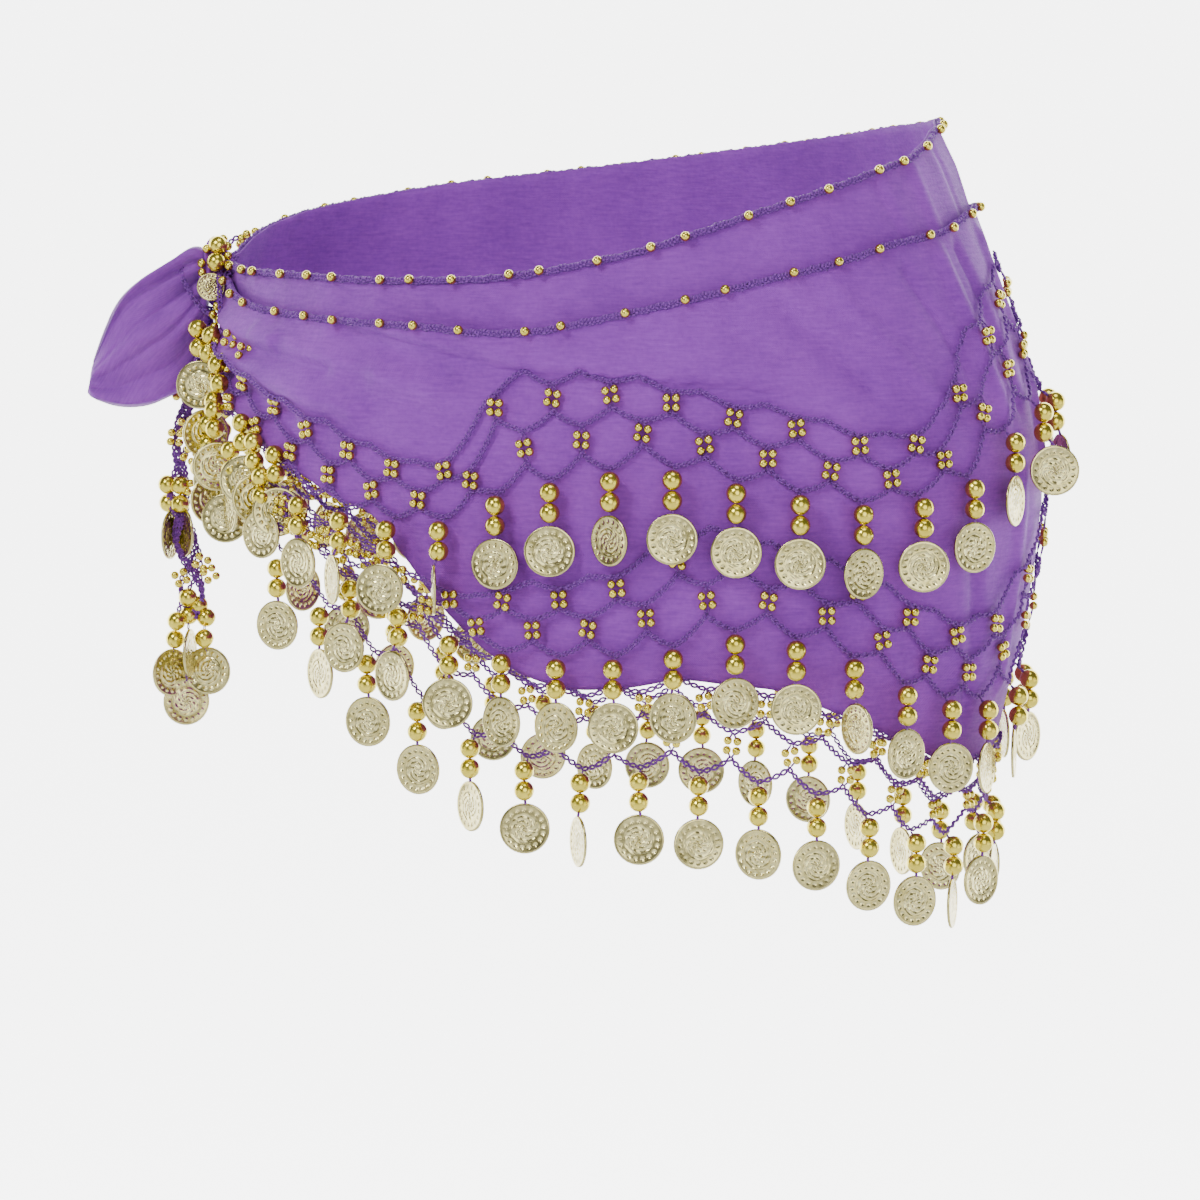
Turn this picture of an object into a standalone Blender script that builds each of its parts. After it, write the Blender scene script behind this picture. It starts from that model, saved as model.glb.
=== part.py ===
"""Belly dance hip scarf, tied at the wearer's right hip.

The cloth goes round a general hip form. A point on it is given by its turn in
degrees round the hips from the knot, its height over the origin, and its lift
outward from the hip form. Turns 0 to 180 are the front stretch, and 180 to 360
the back stretch. Lengths are in metres, tables are in millimetres and degrees.
"""

import math

import bmesh
import bpy
import numpy as np
from mathutils import Vector
from mathutils.bvhtree import BVHTree

MM = 0.001
GAP = 0.3 * MM

# Hip form
DEPTH_RATIO = 0.68
KNOT_BEARING = math.radians(33.0)
KNOT_PARAMETER = math.atan2(DEPTH_RATIO * math.sin(KNOT_BEARING), math.cos(KNOT_BEARING)) - math.pi
# columns: height, half width of the hips, sideways sway of the pose
HIP_FORM = (
    (-200.0, 147.7, -2.7),
    (-169.2, 154.0, -1.5),
    (-130.8, 161.9, -0.4),
    (-101.5, 166.5, 0.0),
    (-74.2, 169.1, 0.8),
    (-54.6, 169.1, 0.8),
    (-30.8, 166.5, 0.0),
    (-7.7, 161.1, -1.9),
    (19.2, 153.1, -3.8),
    (51.9, 143.9, -5.4),
    (76.9, 134.2, -7.7),
)

# Cloth
WALL = 1.2 * MM
INNER_LIFT = 1.0 * MM
OUTER_LIFT = INNER_LIFT + WALL + GAP
OUTER_FACE = OUTER_LIFT + WALL
INNER_LAYER_OVERLAP = 14.0 * MM
COLUMNS = 24
INNER_ROWS = 2
OUTER_ROWS = 7
SEAM_TURN = 0.1
KNOT_TURNS = 6.5

# Crocheted pieces
CHAIN_WIDTH = 2.6 * MM
CHAIN_DEPTH = 1.6 * MM
NET_OFFSET = 1.8 * MM + CHAIN_DEPTH / 2
TRIM_OFFSET = 0.45 * MM + CHAIN_DEPTH / 2
GAP_SHARE = 0.72
EDGE_GAP_SHARE = 0.58

# Edges and net lines: columns turn, height
TOP_EDGE_FRONT = ((0, 14), (15, 12), (35, 12), (55, 11), (72, 12.5), (82, 16), (95, 23),
                  (112, 36), (126, 45), (140, 53), (150, 57), (165, 66), (180, 70))
TOP_EDGE_BACK = ((180, 70), (210, 66), (240, 58), (270, 49), (300, 41), (330, 31), (345, 24), (360, 14))
OUTER_EDGE = ((0, 1), (24, -0.5), (45, -4), (64, -5), (72, -7), (80, -6.5), (88, -2), (95, 2),
              (105, 8), (115, 14), (125, 18.5), (138, 26), (153, 30), (165, 36), (180, 38))
TUCK = ((44, -3), (52, -6), (71, -17), (77, -20), (88, -22), (95, -23), (104, -24), (114, -27))
HEM = ((0, -24), (4, -29), (25, -45), (35, -58), (43.5, -66), (48, -72), (54.6, -75), (59, -88),
       (65.5, -110), (71.5, -125), (76.5, -133), (80, -136.5), (85, -139), (92.5, -137.5),
       (99.5, -133.5), (107.5, -136), (114, -137.5), (123, -146), (133.5, -155), (147.5, -167.5),
       (153, -170), (163.5, -167), (180, -164))
UPPER_TOP = ((6, -10), (29.5, -25), (36.5, -32.5), (47, -41.5), (56, -51), (64.5, -56.5),
             (68, -52), (71, -43), (73.5, -27), (76.5, -20.5), (81, -22), (88.5, -20.5),
             (95.5, -23), (102, -27.5), (108, -31.5), (114, -33), (122, -40.5), (130.5, -43.5),
             (137, -40), (143.5, -21), (150.5, -3.5), (164.5, 15), (180, 20))
UPPER_LOW = ((6, -30), (25, -49), (36.5, -61), (45.5, -72), (55, -76), (62.5, -77.5), (68, -76),
             (73.5, -66.5), (78.5, -63.5), (82.5, -60), (88, -57.5), (93.5, -53), (100.5, -56),
             (108.5, -61), (117.5, -65), (127.5, -69), (137, -64), (145, -59), (152, -47),
             (158, -38), (166.5, -32.5), (180, -30))
MIDDLE_TOP = ((34, -68.5), (48, -83), (51, -85), (55, -88), (64.5, -100), (71.3, -105),
              (77.5, -98.5), (84, -98.5), (92, -91.5), (95, -86), (98, -80), (104.5, -76),
              (106.5, -78.5), (112.5, -83.5), (122, -90.5), (133, -102.5), (141.5, -111.5),
              (149, -113), (156, -106), (163, -90), (170, -75), (180, -68))
MIDDLE_LOW = ((34, -80), (48, -94), (55.5, -103), (63.5, -113), (70, -121), (78, -126),
              (91.5, -125), (98, -121.5), (106, -115), (111.5, -115), (120, -120), (127, -127),
              (137, -138.5), (150.5, -145), (166, -140), (180, -134))
LOWER_TOP = ((34, -64), (43.5, -75), (48, -79), (54.6, -83), (59, -92), (65.5, -112),
             (71.5, -124), (76.5, -132), (80, -135.5), (85, -138), (92.5, -136.5), (99.5, -132.5),
             (107.5, -135), (114, -136.5), (123, -145), (133.5, -154), (147.5, -166.5),
             (153, -169), (163.5, -166), (180, -163))
LOWER_LOW = ((34, -86), (38, -95), (49, -117), (57, -133.5), (63, -146), (70, -157),
             (76.5, -163.5), (82.5, -166.5), (88.5, -169), (96, -166.5), (103.5, -168),
             (111.5, -171.5), (121.5, -176), (130.5, -184), (140.5, -191.5), (152, -196),
             (163, -189), (180, -186))

# Soft folds of the outer layer: columns turn, height, turn, height, half width, rise
FOLDS = (
    (16, -8, 42, -30, 14, 2.4),
    (18, -18, 62, -50, 13, 2.0),
    (118, -30, 150, -120, 15, 1.6),
    (160, 10, 168, -90, 14, 2.0),
    (176, 20, 178, -120, 15, 1.6),
    (84, -50, 92, -120, 16, 1.4),
)
TUCK_RISE = 2.6 * MM

# Lift of a tier's middle line from the cloth's face: columns turn, lift
NET_LIFT = {
    "upper": ((0, 0.0), (180, 0.0)),
    "middle": ((34, 2.4), (76, 2.4), (86, 0.7), (180, 0.7)),
    "lower": ((34, 0.0), (80, 0.0), (110, 0.4), (180, 0.4)),
}
# Lift of a tier's beads and coins from the cloth's face, where tiers hang over one another
BEAD_LIFT = {
    "upper": ((0, 10.0), (61, 10.0), (69, 7.0), (180, 7.0)),
    "middle": ((34, 7.8), (90, 7.8), (110, 8.6), (180, 8.6)),
    "lower": ((34, 7.0), (180, 7.0)),
}
COIN_LIFT = {
    "upper": ((0, 10.0), (46, 10.0), (49, 13.8), (61, 13.8), (69, 7.0), (180, 7.0)),
    "middle": ((34, 12.0), (62, 12.0), (71, 7.8), (90, 7.8), (110, 8.6), (180, 8.6)),
    "lower": ((34, 7.0), (180, 7.0)),
}
# columns: net columns to a half, coins to a half, first turn, first coin's turn
TIERS = {
    "upper": (14, 19, 12.0, 19.0, UPPER_TOP, UPPER_LOW),
    "middle": (11, 15, 34.0, 53.0, MIDDLE_TOP, MIDDLE_LOW),
    "lower": (12, 16, 34.0, 38.0, LOWER_TOP, LOWER_LOW),
}

# Hanging strand of two large beads and a coin
BEAD = 7.5 * MM
COIN = 18.8 * MM
COIN_THICKNESS = 1.2 * MM
# columns: drop under the chain, half width, half depth, share of the coin's own turn
STRAND = (
    (4.8, 3.75, 3.75, 0.0),
    (8.6, 0.8, 0.8, 0.0),
    (12.4, 3.75, 3.75, 0.0),
    (16.6, 2.6, 0.6, 1.0),
    (21.8, 9.4, 0.6, 1.0),
    (30.8, 9.4, 0.6, 1.0),
    (36.0, 2.8, 0.6, 1.0),
)

# Knot and bow loop, in the plane that stands out from the hip at the knot
KNOT_OUT = 10.3 * MM
KNOT_HEIGHT = 9.6 * MM
KNOT_HALF = (6.0 * MM, 12.0 * MM, 13.0 * MM)
# columns: outer point of the top edge, its height, outer point of the lower edge, its height, half gap
BOW_LOOP = (
    (16.2, 20.0, 16.6, -12.0, 2.4),
    (23.5, 16.2, 18.6, -27.0, 5.0),
    (32.3, 10.8, 22.7, -36.5, 7.5),
    (40.0, 5.8, 27.7, -38.8, 9.0),
    (48.0, -1.9, 36.2, -42.7, 8.6),
    (54.0, -15.4, 47.7, -43.2, 6.0),
    (57.7, -25.4, 58.6, -39.7, 2.6),
)
# columns: outward place, height, half width of the tail
TAIL = (
    (11.4, -3.9, 1.6),
    (14.6, -24.0, 1.6),
    (17.5, -46.0, 1.6),
    (21.0, -55.0, 8.0),
    (22.6, -66.0, 10.0),
    (22.6, -98.0, 10.0),
    (22.6, -131.0, 9.0),
)
TAIL_GAP_HEIGHTS = (-63.0, -76.0, -89.0, -102.0, -115.0)
TAIL_GAP_HALF = (6.4 * MM, 4.6 * MM)

MATERIALS = {
    "chiffon": ((0.29, 0.095, 0.46, 1.0), 0.75, 0.0),
    "crochet": ((0.20, 0.10, 0.42, 1.0), 0.85, 0.0),
    "gold": ((0.83, 0.68, 0.33, 1.0), 0.32, 1.0),
}


def clear_scene():
    for item in list(bpy.data.objects):
        bpy.data.objects.remove(item, do_unlink=True)


def make_material(node, kind):
    colour, roughness, metallic = MATERIALS[kind]
    material = bpy.data.materials.new(node)
    material.use_nodes = True
    shader = material.node_tree.nodes["Principled BSDF"]
    shader.inputs["Base Color"].default_value = colour
    shader.inputs["Roughness"].default_value = roughness
    shader.inputs["Metallic"].default_value = metallic
    return material


def face_outward(shape, mesh):
    """Write a closed shape to its mesh with all faces pointing out of it."""
    bmesh.ops.recalc_face_normals(shape, faces=shape.faces)
    if shape.calc_volume(signed=True) < 0.0:
        bmesh.ops.reverse_faces(shape, faces=shape.faces)
    shape.to_mesh(mesh)
    shape.free()


def make_object(name, vertices, faces, kind, smooth=True):
    mesh = bpy.data.meshes.new(name)
    mesh.from_pydata([tuple(map(float, p)) for p in vertices], [], faces)
    if not smooth:
        shape = bmesh.new()
        shape.from_mesh(mesh)
        face_outward(shape, mesh)
    mesh.materials.append(make_material(name, kind))
    item = bpy.data.objects.new(name, mesh)
    COLLECTION.objects.link(item)
    if smooth:
        mesh.shade_smooth()
    return item


def line(table, turn):
    """Height of a table's line at a turn, in metres; the back half mirrors the front."""
    rows = np.array(table, float)
    there = turn if turn <= 180.0 else 360.0 - turn
    return float(np.interp(there, rows[:, 0], rows[:, 1])) * MM


def top_edge(turn):
    if turn <= 180.0:
        return line(TOP_EDGE_FRONT, turn)
    rows = np.array(TOP_EDGE_BACK, float)
    return float(np.interp(turn, rows[:, 0], rows[:, 1])) * MM


def hip_frame(turn, height):
    """Point on the hip form, outward direction and direction of growing turn."""
    rows = np.array(HIP_FORM, float) * MM
    half = float(np.interp(height, rows[:, 0], rows[:, 1]))
    sway = float(np.interp(height, rows[:, 0], rows[:, 2]))
    angle = KNOT_PARAMETER + math.radians(turn)
    deep = half * DEPTH_RATIO
    point = np.array((half * math.cos(angle) + sway * math.cos(KNOT_BEARING),
                      deep * math.sin(angle) + sway * math.sin(KNOT_BEARING),
                      height))
    outward = np.array((deep * math.cos(angle), half * math.sin(angle), 0.0))
    outward /= np.linalg.norm(outward)
    along = np.array((-outward[1], outward[0], 0.0))
    return point, outward, along


def hip_point(turn, height, lift):
    point, outward, _ = hip_frame(turn, height)
    return point + outward * lift


def fold_rise(turn, height):
    """Rise of the outer layer's folds at a point, from the table of folds and the tuck."""
    there = turn if turn <= 180.0 else 360.0 - turn
    shift = 0.0 if turn <= 180.0 else 5.0
    place = np.array((there * 2.4, height / MM))
    rise = 0.0
    for turn_a, height_a, turn_b, height_b, half_width, peak in FOLDS:
        start = np.array(((turn_a + shift) * 2.4, height_a))
        step = np.array(((turn_b + shift) * 2.4, height_b)) - start
        share = min(max(float((place - start) @ step / (step @ step)), 0.0), 1.0)
        away = float(np.linalg.norm(place - start - step * share))
        rise += peak * MM * math.exp(-(away / half_width) ** 2)
    window = min(max((there - 40.0) / 8.0, 0.0), 1.0) * min(max((122.0 - there) / 10.0, 0.0), 1.0)
    over = min(max((height - line(TUCK, turn)) / (4.0 * MM), 0.0), 1.0)
    return rise + TUCK_RISE * window * over


def cloth_rows(turn, rows, outer):
    """Heights of a layer's rows at a turn, from its upper edge to its lower edge."""
    high = line(OUTER_EDGE, turn) if outer else top_edge(turn)
    low = line(HEM, turn) if outer else line(OUTER_EDGE, turn) - INNER_LAYER_OVERLAP
    if not outer:
        low = max(low, line(HEM, turn) + 6.0 * MM)
    return [high + (low - high) * i / rows for i in range(rows + 1)]


def column_turns(first, last):
    """Turns of the columns of a stretch, as many as its share of a half takes."""
    count = round(COLUMNS * (last - first) / 180.0)
    return [first + (last - first) * i / count for i in range(count + 1)]


RISES = {}


def outer_rise(turn, height):
    """Rise of the faceted outer layer at a point, between its own rows and columns."""
    if not RISES:
        for number in range(2 * COLUMNS + 1):
            there = 180.0 * number / COLUMNS
            RISES[number] = [fold_rise(there, h) for h in cloth_rows(there, OUTER_ROWS, True)]
    place = min(max(turn * COLUMNS / 180.0, 0.0), 2 * COLUMNS - 1e-6)
    number = int(place)
    high, low = line(OUTER_EDGE, turn), line(HEM, turn)
    share = min(max((height - high) / (low - high), 0.0), 1.0) * OUTER_ROWS
    steps = range(OUTER_ROWS + 1)
    before = float(np.interp(share, steps, RISES[number]))
    after = float(np.interp(share, steps, RISES[number + 1]))
    return before + (after - before) * (place - number)


FACES = []


def face_lift(turn, height):
    """Lift of the outer layer's face at a point, read from its made wall where it has one."""
    found = OUTER_FACE + outer_rise(turn, height)
    for shift in (-1.5 * MM, 0.0, 1.5 * MM):
        _, outward, _ = hip_frame(turn, height + shift)
        start = hip_point(turn, height + shift, 60.0 * MM)
        for tree in FACES:
            hit = tree.ray_cast(Vector(start), Vector(-outward))
            if hit[0] is not None and hit[3] < 60.0 * MM:
                found = max(found, 60.0 * MM - hit[3])
    return found


def keep_face(item):
    """Keep the made wall of a cloth stretch for the pieces that lie on it."""
    bpy.context.view_layer.update()
    made = item.evaluated_get(bpy.context.evaluated_depsgraph_get()).to_mesh()
    places = [vertex.co.copy() for vertex in made.vertices]
    FACES.append(BVHTree.FromPolygons(places, [tuple(face.vertices) for face in made.polygons]))
    item.evaluated_get(bpy.context.evaluated_depsgraph_get()).to_mesh_clear()


def cloth(name, first, last, rows, outer):
    """Cloth stretch: an open surface of rows and columns with a Solidify wall."""
    points = []
    turns = column_turns(first, last)
    for turn in turns:
        for height in cloth_rows(turn, rows, outer):
            lift = OUTER_LIFT + outer_rise(turn, height) if outer else INNER_LIFT
            points.append(hip_point(turn, height, lift))
    faces = []
    for column in range(len(turns) - 1):
        for row in range(rows):
            a = column * (rows + 1) + row
            b = a + rows + 1
            faces.append((a, a + 1, b + 1, b))
    item = make_object(name, points, faces, "chiffon")
    wall = item.modifiers.new("wall", "SOLIDIFY")
    wall.thickness = WALL
    wall.offset = 1.0
    wall.use_rim = True
    if outer:
        keep_face(item)


def band(name, frames, half_depth, kind="crochet"):
    """Chain of four sides through a row of frames, each a middle, outward and half its width."""
    points = []
    for middle, outward, up in frames:
        out = outward * half_depth
        points += [middle - out + up, middle + out + up, middle + out - up, middle - out - up]
    faces = []
    for i in range(len(frames) - 1):
        for k in range(4):
            a, b = 4 * i + k, 4 * i + (k + 1) % 4
            faces.append((a, b, b + 4, a + 4))
    end = 4 * (len(frames) - 1)
    faces.append((3, 2, 1, 0))
    faces.append((end, end + 1, end + 2, end + 3))
    return make_object(name, points, faces, kind, False)


def trim(name, first, last, outer):
    """Chain that lies on a layer's upper edge and leans with the cloth."""
    if outer:
        first, last = max(first, KNOT_TURNS), min(last, 360.0 - KNOT_TURNS)
    frames = []
    for turn in column_turns(first, last):
        edge = line(OUTER_EDGE, turn) if outer else top_edge(turn)
        ends = []
        for height in (edge - 0.1 * MM, edge - CHAIN_WIDTH):
            lift = face_lift(turn, height) + 0.5 * MM if outer else INNER_LIFT + 1.12 * WALL
            ends.append(hip_point(turn, height, lift + TRIM_OFFSET))
        _, outward, _ = hip_frame(turn, edge)
        frames.append(((ends[0] + ends[1]) / 2, outward, (ends[0] - ends[1]) / 2))
    return band(name, frames, CHAIN_DEPTH / 2)


def fill_outline(name, outlines):
    """Flat mesh of an outline and its gaps, made as a filled curve of the chain's depth."""
    curve = bpy.data.curves.new(name, "CURVE")
    curve.dimensions = "2D"
    curve.fill_mode = "BOTH"
    curve.extrude = CHAIN_DEPTH / 2
    for outline in outlines:
        spline = curve.splines.new("POLY")
        spline.points.add(len(outline) - 1)
        for point, (x, y) in zip(spline.points, outline):
            point.co = (x, y, 0.0, 1.0)
        spline.use_cyclic_u = True
    guide = bpy.data.objects.new(name + "_outline", curve)
    COLLECTION.objects.link(guide)
    bpy.context.view_layer.update()
    depsgraph = bpy.context.evaluated_depsgraph_get()
    mesh = bpy.data.meshes.new_from_object(guide.evaluated_get(depsgraph))
    bpy.data.objects.remove(guide, do_unlink=True)
    bpy.data.curves.remove(curve)
    shape = bmesh.new()
    shape.from_mesh(mesh)
    bmesh.ops.remove_doubles(shape, verts=shape.verts, dist=1e-5)
    bmesh.ops.recalc_face_normals(shape, faces=shape.faces)
    shape.to_mesh(mesh)
    shape.free()
    return mesh


def shrunk(corners, share):
    middle = np.mean(corners, axis=0)
    return [tuple(middle + (np.array(c) - middle) * share) for c in corners]


def add_shape(name, mesh, place, kind):
    """Object of a flat mesh after its points are placed by a function of x, y and depth."""
    mesh.materials.clear()
    mesh.materials.append(make_material(name, kind))
    for vertex in mesh.vertices:
        vertex.co = place(*vertex.co)
    item = bpy.data.objects.new(name, mesh)
    COLLECTION.objects.link(item)
    shape = bmesh.new()
    shape.from_mesh(mesh)
    face_outward(shape, mesh)
    return item


def arc_turns(first, last, count):
    """Turns at equal lengths of the hip's outline from first to last, both included."""
    fine = np.linspace(first, last, 400)
    points = np.array([hip_point(t, -0.07, 0.008) for t in fine])
    steps = np.linalg.norm(np.diff(points, axis=0), axis=1)
    run = np.concatenate([[0.0], np.cumsum(steps)])
    return list(np.interp(np.linspace(0.0, run[-1], count), run, fine))


def back_turns(turns):
    return [360.0 - t for t in reversed(turns)]


def tier_marks(tier):
    """Turns of a front chain's frames, each with a mark that says if a strand starts there."""
    _, coins, first, first_coin, _, _ = TIERS[tier]
    marks = [(first, False)]
    if first_coin - first > 6.0:
        marks.append(((first_coin + first) / 2, False))
    for turn in arc_turns(first_coin, 180.0 - 5.2, coins):
        marks += [(turn - 0.3, True), (turn + 0.3, False)]
    marks.append((179.4, False))
    return marks


def chain_height(tier, turn):
    """Height of a tier's lower chain at a turn, between its frames."""
    turns = [mark[0] for mark in tier_marks(tier)]
    there = turn if turn <= 180.0 else 360.0 - turn
    return float(np.interp(there, turns, [line(TIERS[tier][5], t) for t in turns]))


def net(tier, side):
    """Net of three rows of gaps between its top chain and its zigzag lower points."""
    columns, _, first, _, top, _ = TIERS[tier]
    turns = arc_turns(first, 180.0 - 0.6, 2 * columns + 1)
    if side == "back":
        turns = back_turns(turns)

    def at(step, share):
        turn = turns[step]
        high, under = line(top, turn), chain_height(tier, turn) + CHAIN_WIDTH / 2 + 0.5 * MM
        return turn * MM, high + (under - high) * share

    def flat(points):
        return [(x * 2.4, y) for x, y in points]

    edge = 0.3 * MM
    outline = [at(step, 0.0) for step in range(2 * columns + 1)]
    outline = [(x, y + CHAIN_WIDTH / 2) for x, y in outline]
    outline[0] = (outline[0][0] - edge, outline[0][1])
    outline[-1] = (outline[-1][0] + edge, outline[-1][1])
    under = []
    for k in range(columns + 1):
        x, y = at(2 * k, 0.66)
        x += (-edge if k == 0 else edge if k == columns else 0.0)
        under.append((x, y - CHAIN_WIDTH * 0.95))
        if k < columns:
            x, y = at(2 * k + 1, 1.0)
            middle = chain_height(tier, turns[2 * k + 1])
            for pad in (-0.5, 0.5):
                slope = chain_height(tier, turns[2 * k + 1] + pad) - middle
                under.append((x + pad * MM, y + slope))
    outlines = [flat(outline + under[::-1])]
    for k in range(columns):
        m = 2 * k
        pair = [at(m, 0.0), at(m + 1, 0.0), at(m + 2, 0.0), at(m + 1, 0.33)]
        outlines.append(flat(shrunk(pair, EDGE_GAP_SHARE)))
        pair = [at(m + 1, 0.33), at(m + 2, 0.66), at(m + 1, 1.0), at(m, 0.66)]
        outlines.append(flat(shrunk(pair, GAP_SHARE)))
    for k in range(columns + 1):
        m = 2 * k
        if k == 0:
            pair = [at(m, 0.0), at(m + 1, 0.33), at(m, 0.66)]
        elif k == columns:
            pair = [at(m, 0.0), at(m, 0.66), at(m - 1, 0.33)]
        else:
            pair = [at(m, 0.0), at(m + 1, 0.33), at(m, 0.66), at(m - 1, 0.33)]
        share = GAP_SHARE if 0 < k < columns else EDGE_GAP_SHARE
        outlines.append(flat(shrunk(pair, share)))
    name = f"net_{tier}_{side}"
    mesh = fill_outline(name, outlines)

    def place(x, height, depth):
        turn = x / (2.4 * MM)
        base = face_lift(turn, height) + NET_OFFSET + line(NET_LIFT[tier], turn)
        return hip_point(turn, height, base + depth)

    return add_shape(name, mesh, place, "crochet")


def plain_place(base, outward, drop, share):
    """Middle of a strand that hangs straight down from its root."""
    return base - np.array((0.0, 0.0, drop))


def fringe(name, frames, strands):
    """Chain with strands grown from its underside.

    Each frame is a middle, outward and along; each strand is the number of the frame
    it starts at, the turn of its coin, its extra length and the rule of its place.
    """
    points, faces = [], []
    for middle, outward, _ in frames:
        up = np.array((0.0, 0.0, CHAIN_WIDTH / 2))
        out = outward * CHAIN_DEPTH / 2
        points += [middle - out + up, middle + out + up, middle + out - up, middle - out - up]
    holding = [strand[0] for strand in strands]
    for i in range(len(frames) - 1):
        for k in range(4):
            a, b = 4 * i + k, 4 * i + (k + 1) % 4
            if k == 2 and i in holding:
                continue
            faces.append((a, b, b + 4, a + 4))
    end = 4 * (len(frames) - 1)
    faces.append((3, 2, 1, 0))
    faces.append((end, end + 1, end + 2, end + 3))
    for i, coin_turn, extra, rule in strands:
        _, outward, along = frames[i]
        base = (frames[i][0] + frames[i + 1][0]) / 2
        ring = [4 * i + 2, 4 * i + 3, 4 * i + 7, 4 * i + 6]
        profile = STRAND if extra == 0.0 else ((3.0 - extra / MM, 0.8, 0.8, 0), (1.0, 0.8, 0.8, 0)) + STRAND
        for drop, half_width, half_depth, turned in profile:
            angle = coin_turn * turned
            wide = along * math.cos(angle) + outward * math.sin(angle)
            deep = outward * math.cos(angle) - along * math.sin(angle)
            centre = rule(base, outward, drop * MM + extra, turned)
            wide, deep = wide * half_width * MM, deep * half_depth * MM
            start = len(points)
            points += [centre - wide + deep, centre - wide - deep, centre + wide - deep, centre + wide + deep]
            fresh = [start, start + 1, start + 2, start + 3]
            for k in range(4):
                faces.append((ring[k], ring[(k + 1) % 4], fresh[(k + 1) % 4], fresh[k]))
            ring = fresh
        faces.append(tuple(ring))
    return make_object(name, points, faces, "gold", False)


def tier_fringe(tier, side):
    marks = tier_marks(tier)
    if side == "back":
        flags = [mark[1] for mark in marks]
        turns = [360.0 - mark[0] for mark in reversed(marks)]
        marks = list(zip(turns, flags[-2::-1] + [False]))
    frames, strands = [], []
    for number, (turn, holds) in enumerate(marks):
        height = chain_height(tier, turn)
        lift = face_lift(turn, height) + line(NET_LIFT[tier], turn) + NET_OFFSET
        _, outward, along = hip_frame(turn, height)
        frames.append((hip_point(turn, height, lift), outward, along))
        if holds:
            middle = turn + 0.3

            def rule(base, outward, drop, share, middle=middle):
                """Hangs over the cloth's face, and never swings back in under itself."""
                reach = 0.0
                for part in np.linspace(0.0, drop, 6)[1:]:
                    level = base[2] - part
                    lift = line(BEAD_LIFT[tier], middle) * (1.0 - share) + line(COIN_LIFT[tier], middle) * share
                    face = hip_point(middle, level, OUTER_FACE + outer_rise(middle, level) + lift)
                    reach = max(reach, float((face - base) @ outward))
                place = base + outward * reach
                place[2] = base[2] - drop
                return place

            calm = 0.0 if (middle < 72.0 or middle > 288.0) else math.radians(14.0)
            strands.append((number, calm * math.sin(number * 2.4 + len(tier)), 0.0, rule))
    return fringe(f"coins_{tier}_{side}", frames, strands)


def knot_frame():
    """Place on the hip at the knot, the direction that stands out, and the direction along."""
    point, outward, along = hip_frame(0.0, KNOT_HEIGHT)
    return np.array((point[0], point[1], 0.0)), outward, along


def knot():
    base, outward, along = knot_frame()
    shape = bmesh.new()
    bmesh.ops.create_uvsphere(shape, u_segments=12, v_segments=8, radius=1.0)
    for vertex in shape.verts:
        x, y, z = vertex.co
        flute = 1.0 - 0.07 * (1.0 + math.cos(6.0 * math.atan2(y, x))) * (1.0 - z * z)
        place = base + outward * (KNOT_OUT + x * flute * KNOT_HALF[0])
        place = place + along * (y * flute * KNOT_HALF[1])
        place[2] = KNOT_HEIGHT + z * KNOT_HALF[2]
        vertex.co = place
    mesh = bpy.data.meshes.new("knot")
    face_outward(shape, mesh)
    mesh.materials.append(make_material("knot", "chiffon"))
    COLLECTION.objects.link(bpy.data.objects.new("knot", mesh))


def bow_loop():
    """Loop of cloth folded at its outer end, a wall round an open hollow."""
    base, outward, along = knot_frame()
    rows = np.array(BOW_LOOP) * MM
    path = [(i, -1.0) for i in range(len(rows))] + [(i, 1.0) for i in reversed(range(len(rows)))]
    across = 5
    points = []
    for i, side in path:
        top_out, top_high, low_out, low_high, half_gap = rows[i]
        for j in range(across):
            share = j / (across - 1)
            bulge = 1.0 + 0.25 * math.sin(math.pi * share)
            out = top_out + (low_out - top_out) * share
            high = top_high + (low_high - top_high) * share
            place = base + outward * out + along * side * half_gap * bulge
            points.append((place[0], place[1], high))
    faces = []
    for i in range(len(path) - 1):
        for j in range(across - 1):
            a = i * across + j
            faces.append((a, a + across, a + across + 1, a + 1))
    item = make_object("bow_loop", points, faces, "chiffon")
    wall = item.modifiers.new("wall", "SOLIDIFY")
    wall.thickness = WALL
    wall.offset = 1.0
    wall.use_rim = True


def tail():
    """Crocheted tail that hangs from the knot, with a row of gaps down its middle."""
    base, outward, along = knot_frame()
    left = [(out * MM - half * MM, high * MM) for out, high, half in TAIL]
    right = [(out * MM + half * MM, high * MM) for out, high, half in TAIL]
    outlines = [left + right[::-1]]
    middle = TAIL[-1][0] * MM
    for high in TAIL_GAP_HEIGHTS:
        wide, tall = TAIL_GAP_HALF
        outlines.append([(middle - wide, high * MM), (middle, high * MM + tall),
                         (middle + wide, high * MM), (middle, high * MM - tall)])
    mesh = fill_outline("tail_net", outlines)

    def place(x, height, depth):
        spot = base + outward * x + along * depth
        return spot[0], spot[1], height

    add_shape("tail_net", mesh, place, "crochet")
    frames, strands = [], []
    low = TAIL[-1][1] * MM - CHAIN_WIDTH / 2 - GAP
    for number, out in enumerate((11.5, 12.3, 13.5, 31.8, 32.8, 33.6)):
        spot = base + outward * out * MM
        frames.append((np.array((spot[0], spot[1], low)), along, outward))
        if number in (1, 3):
            strands.append((number, 0.0, 0.0, plain_place))
    fringe("tail_coins", frames, strands)


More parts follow.
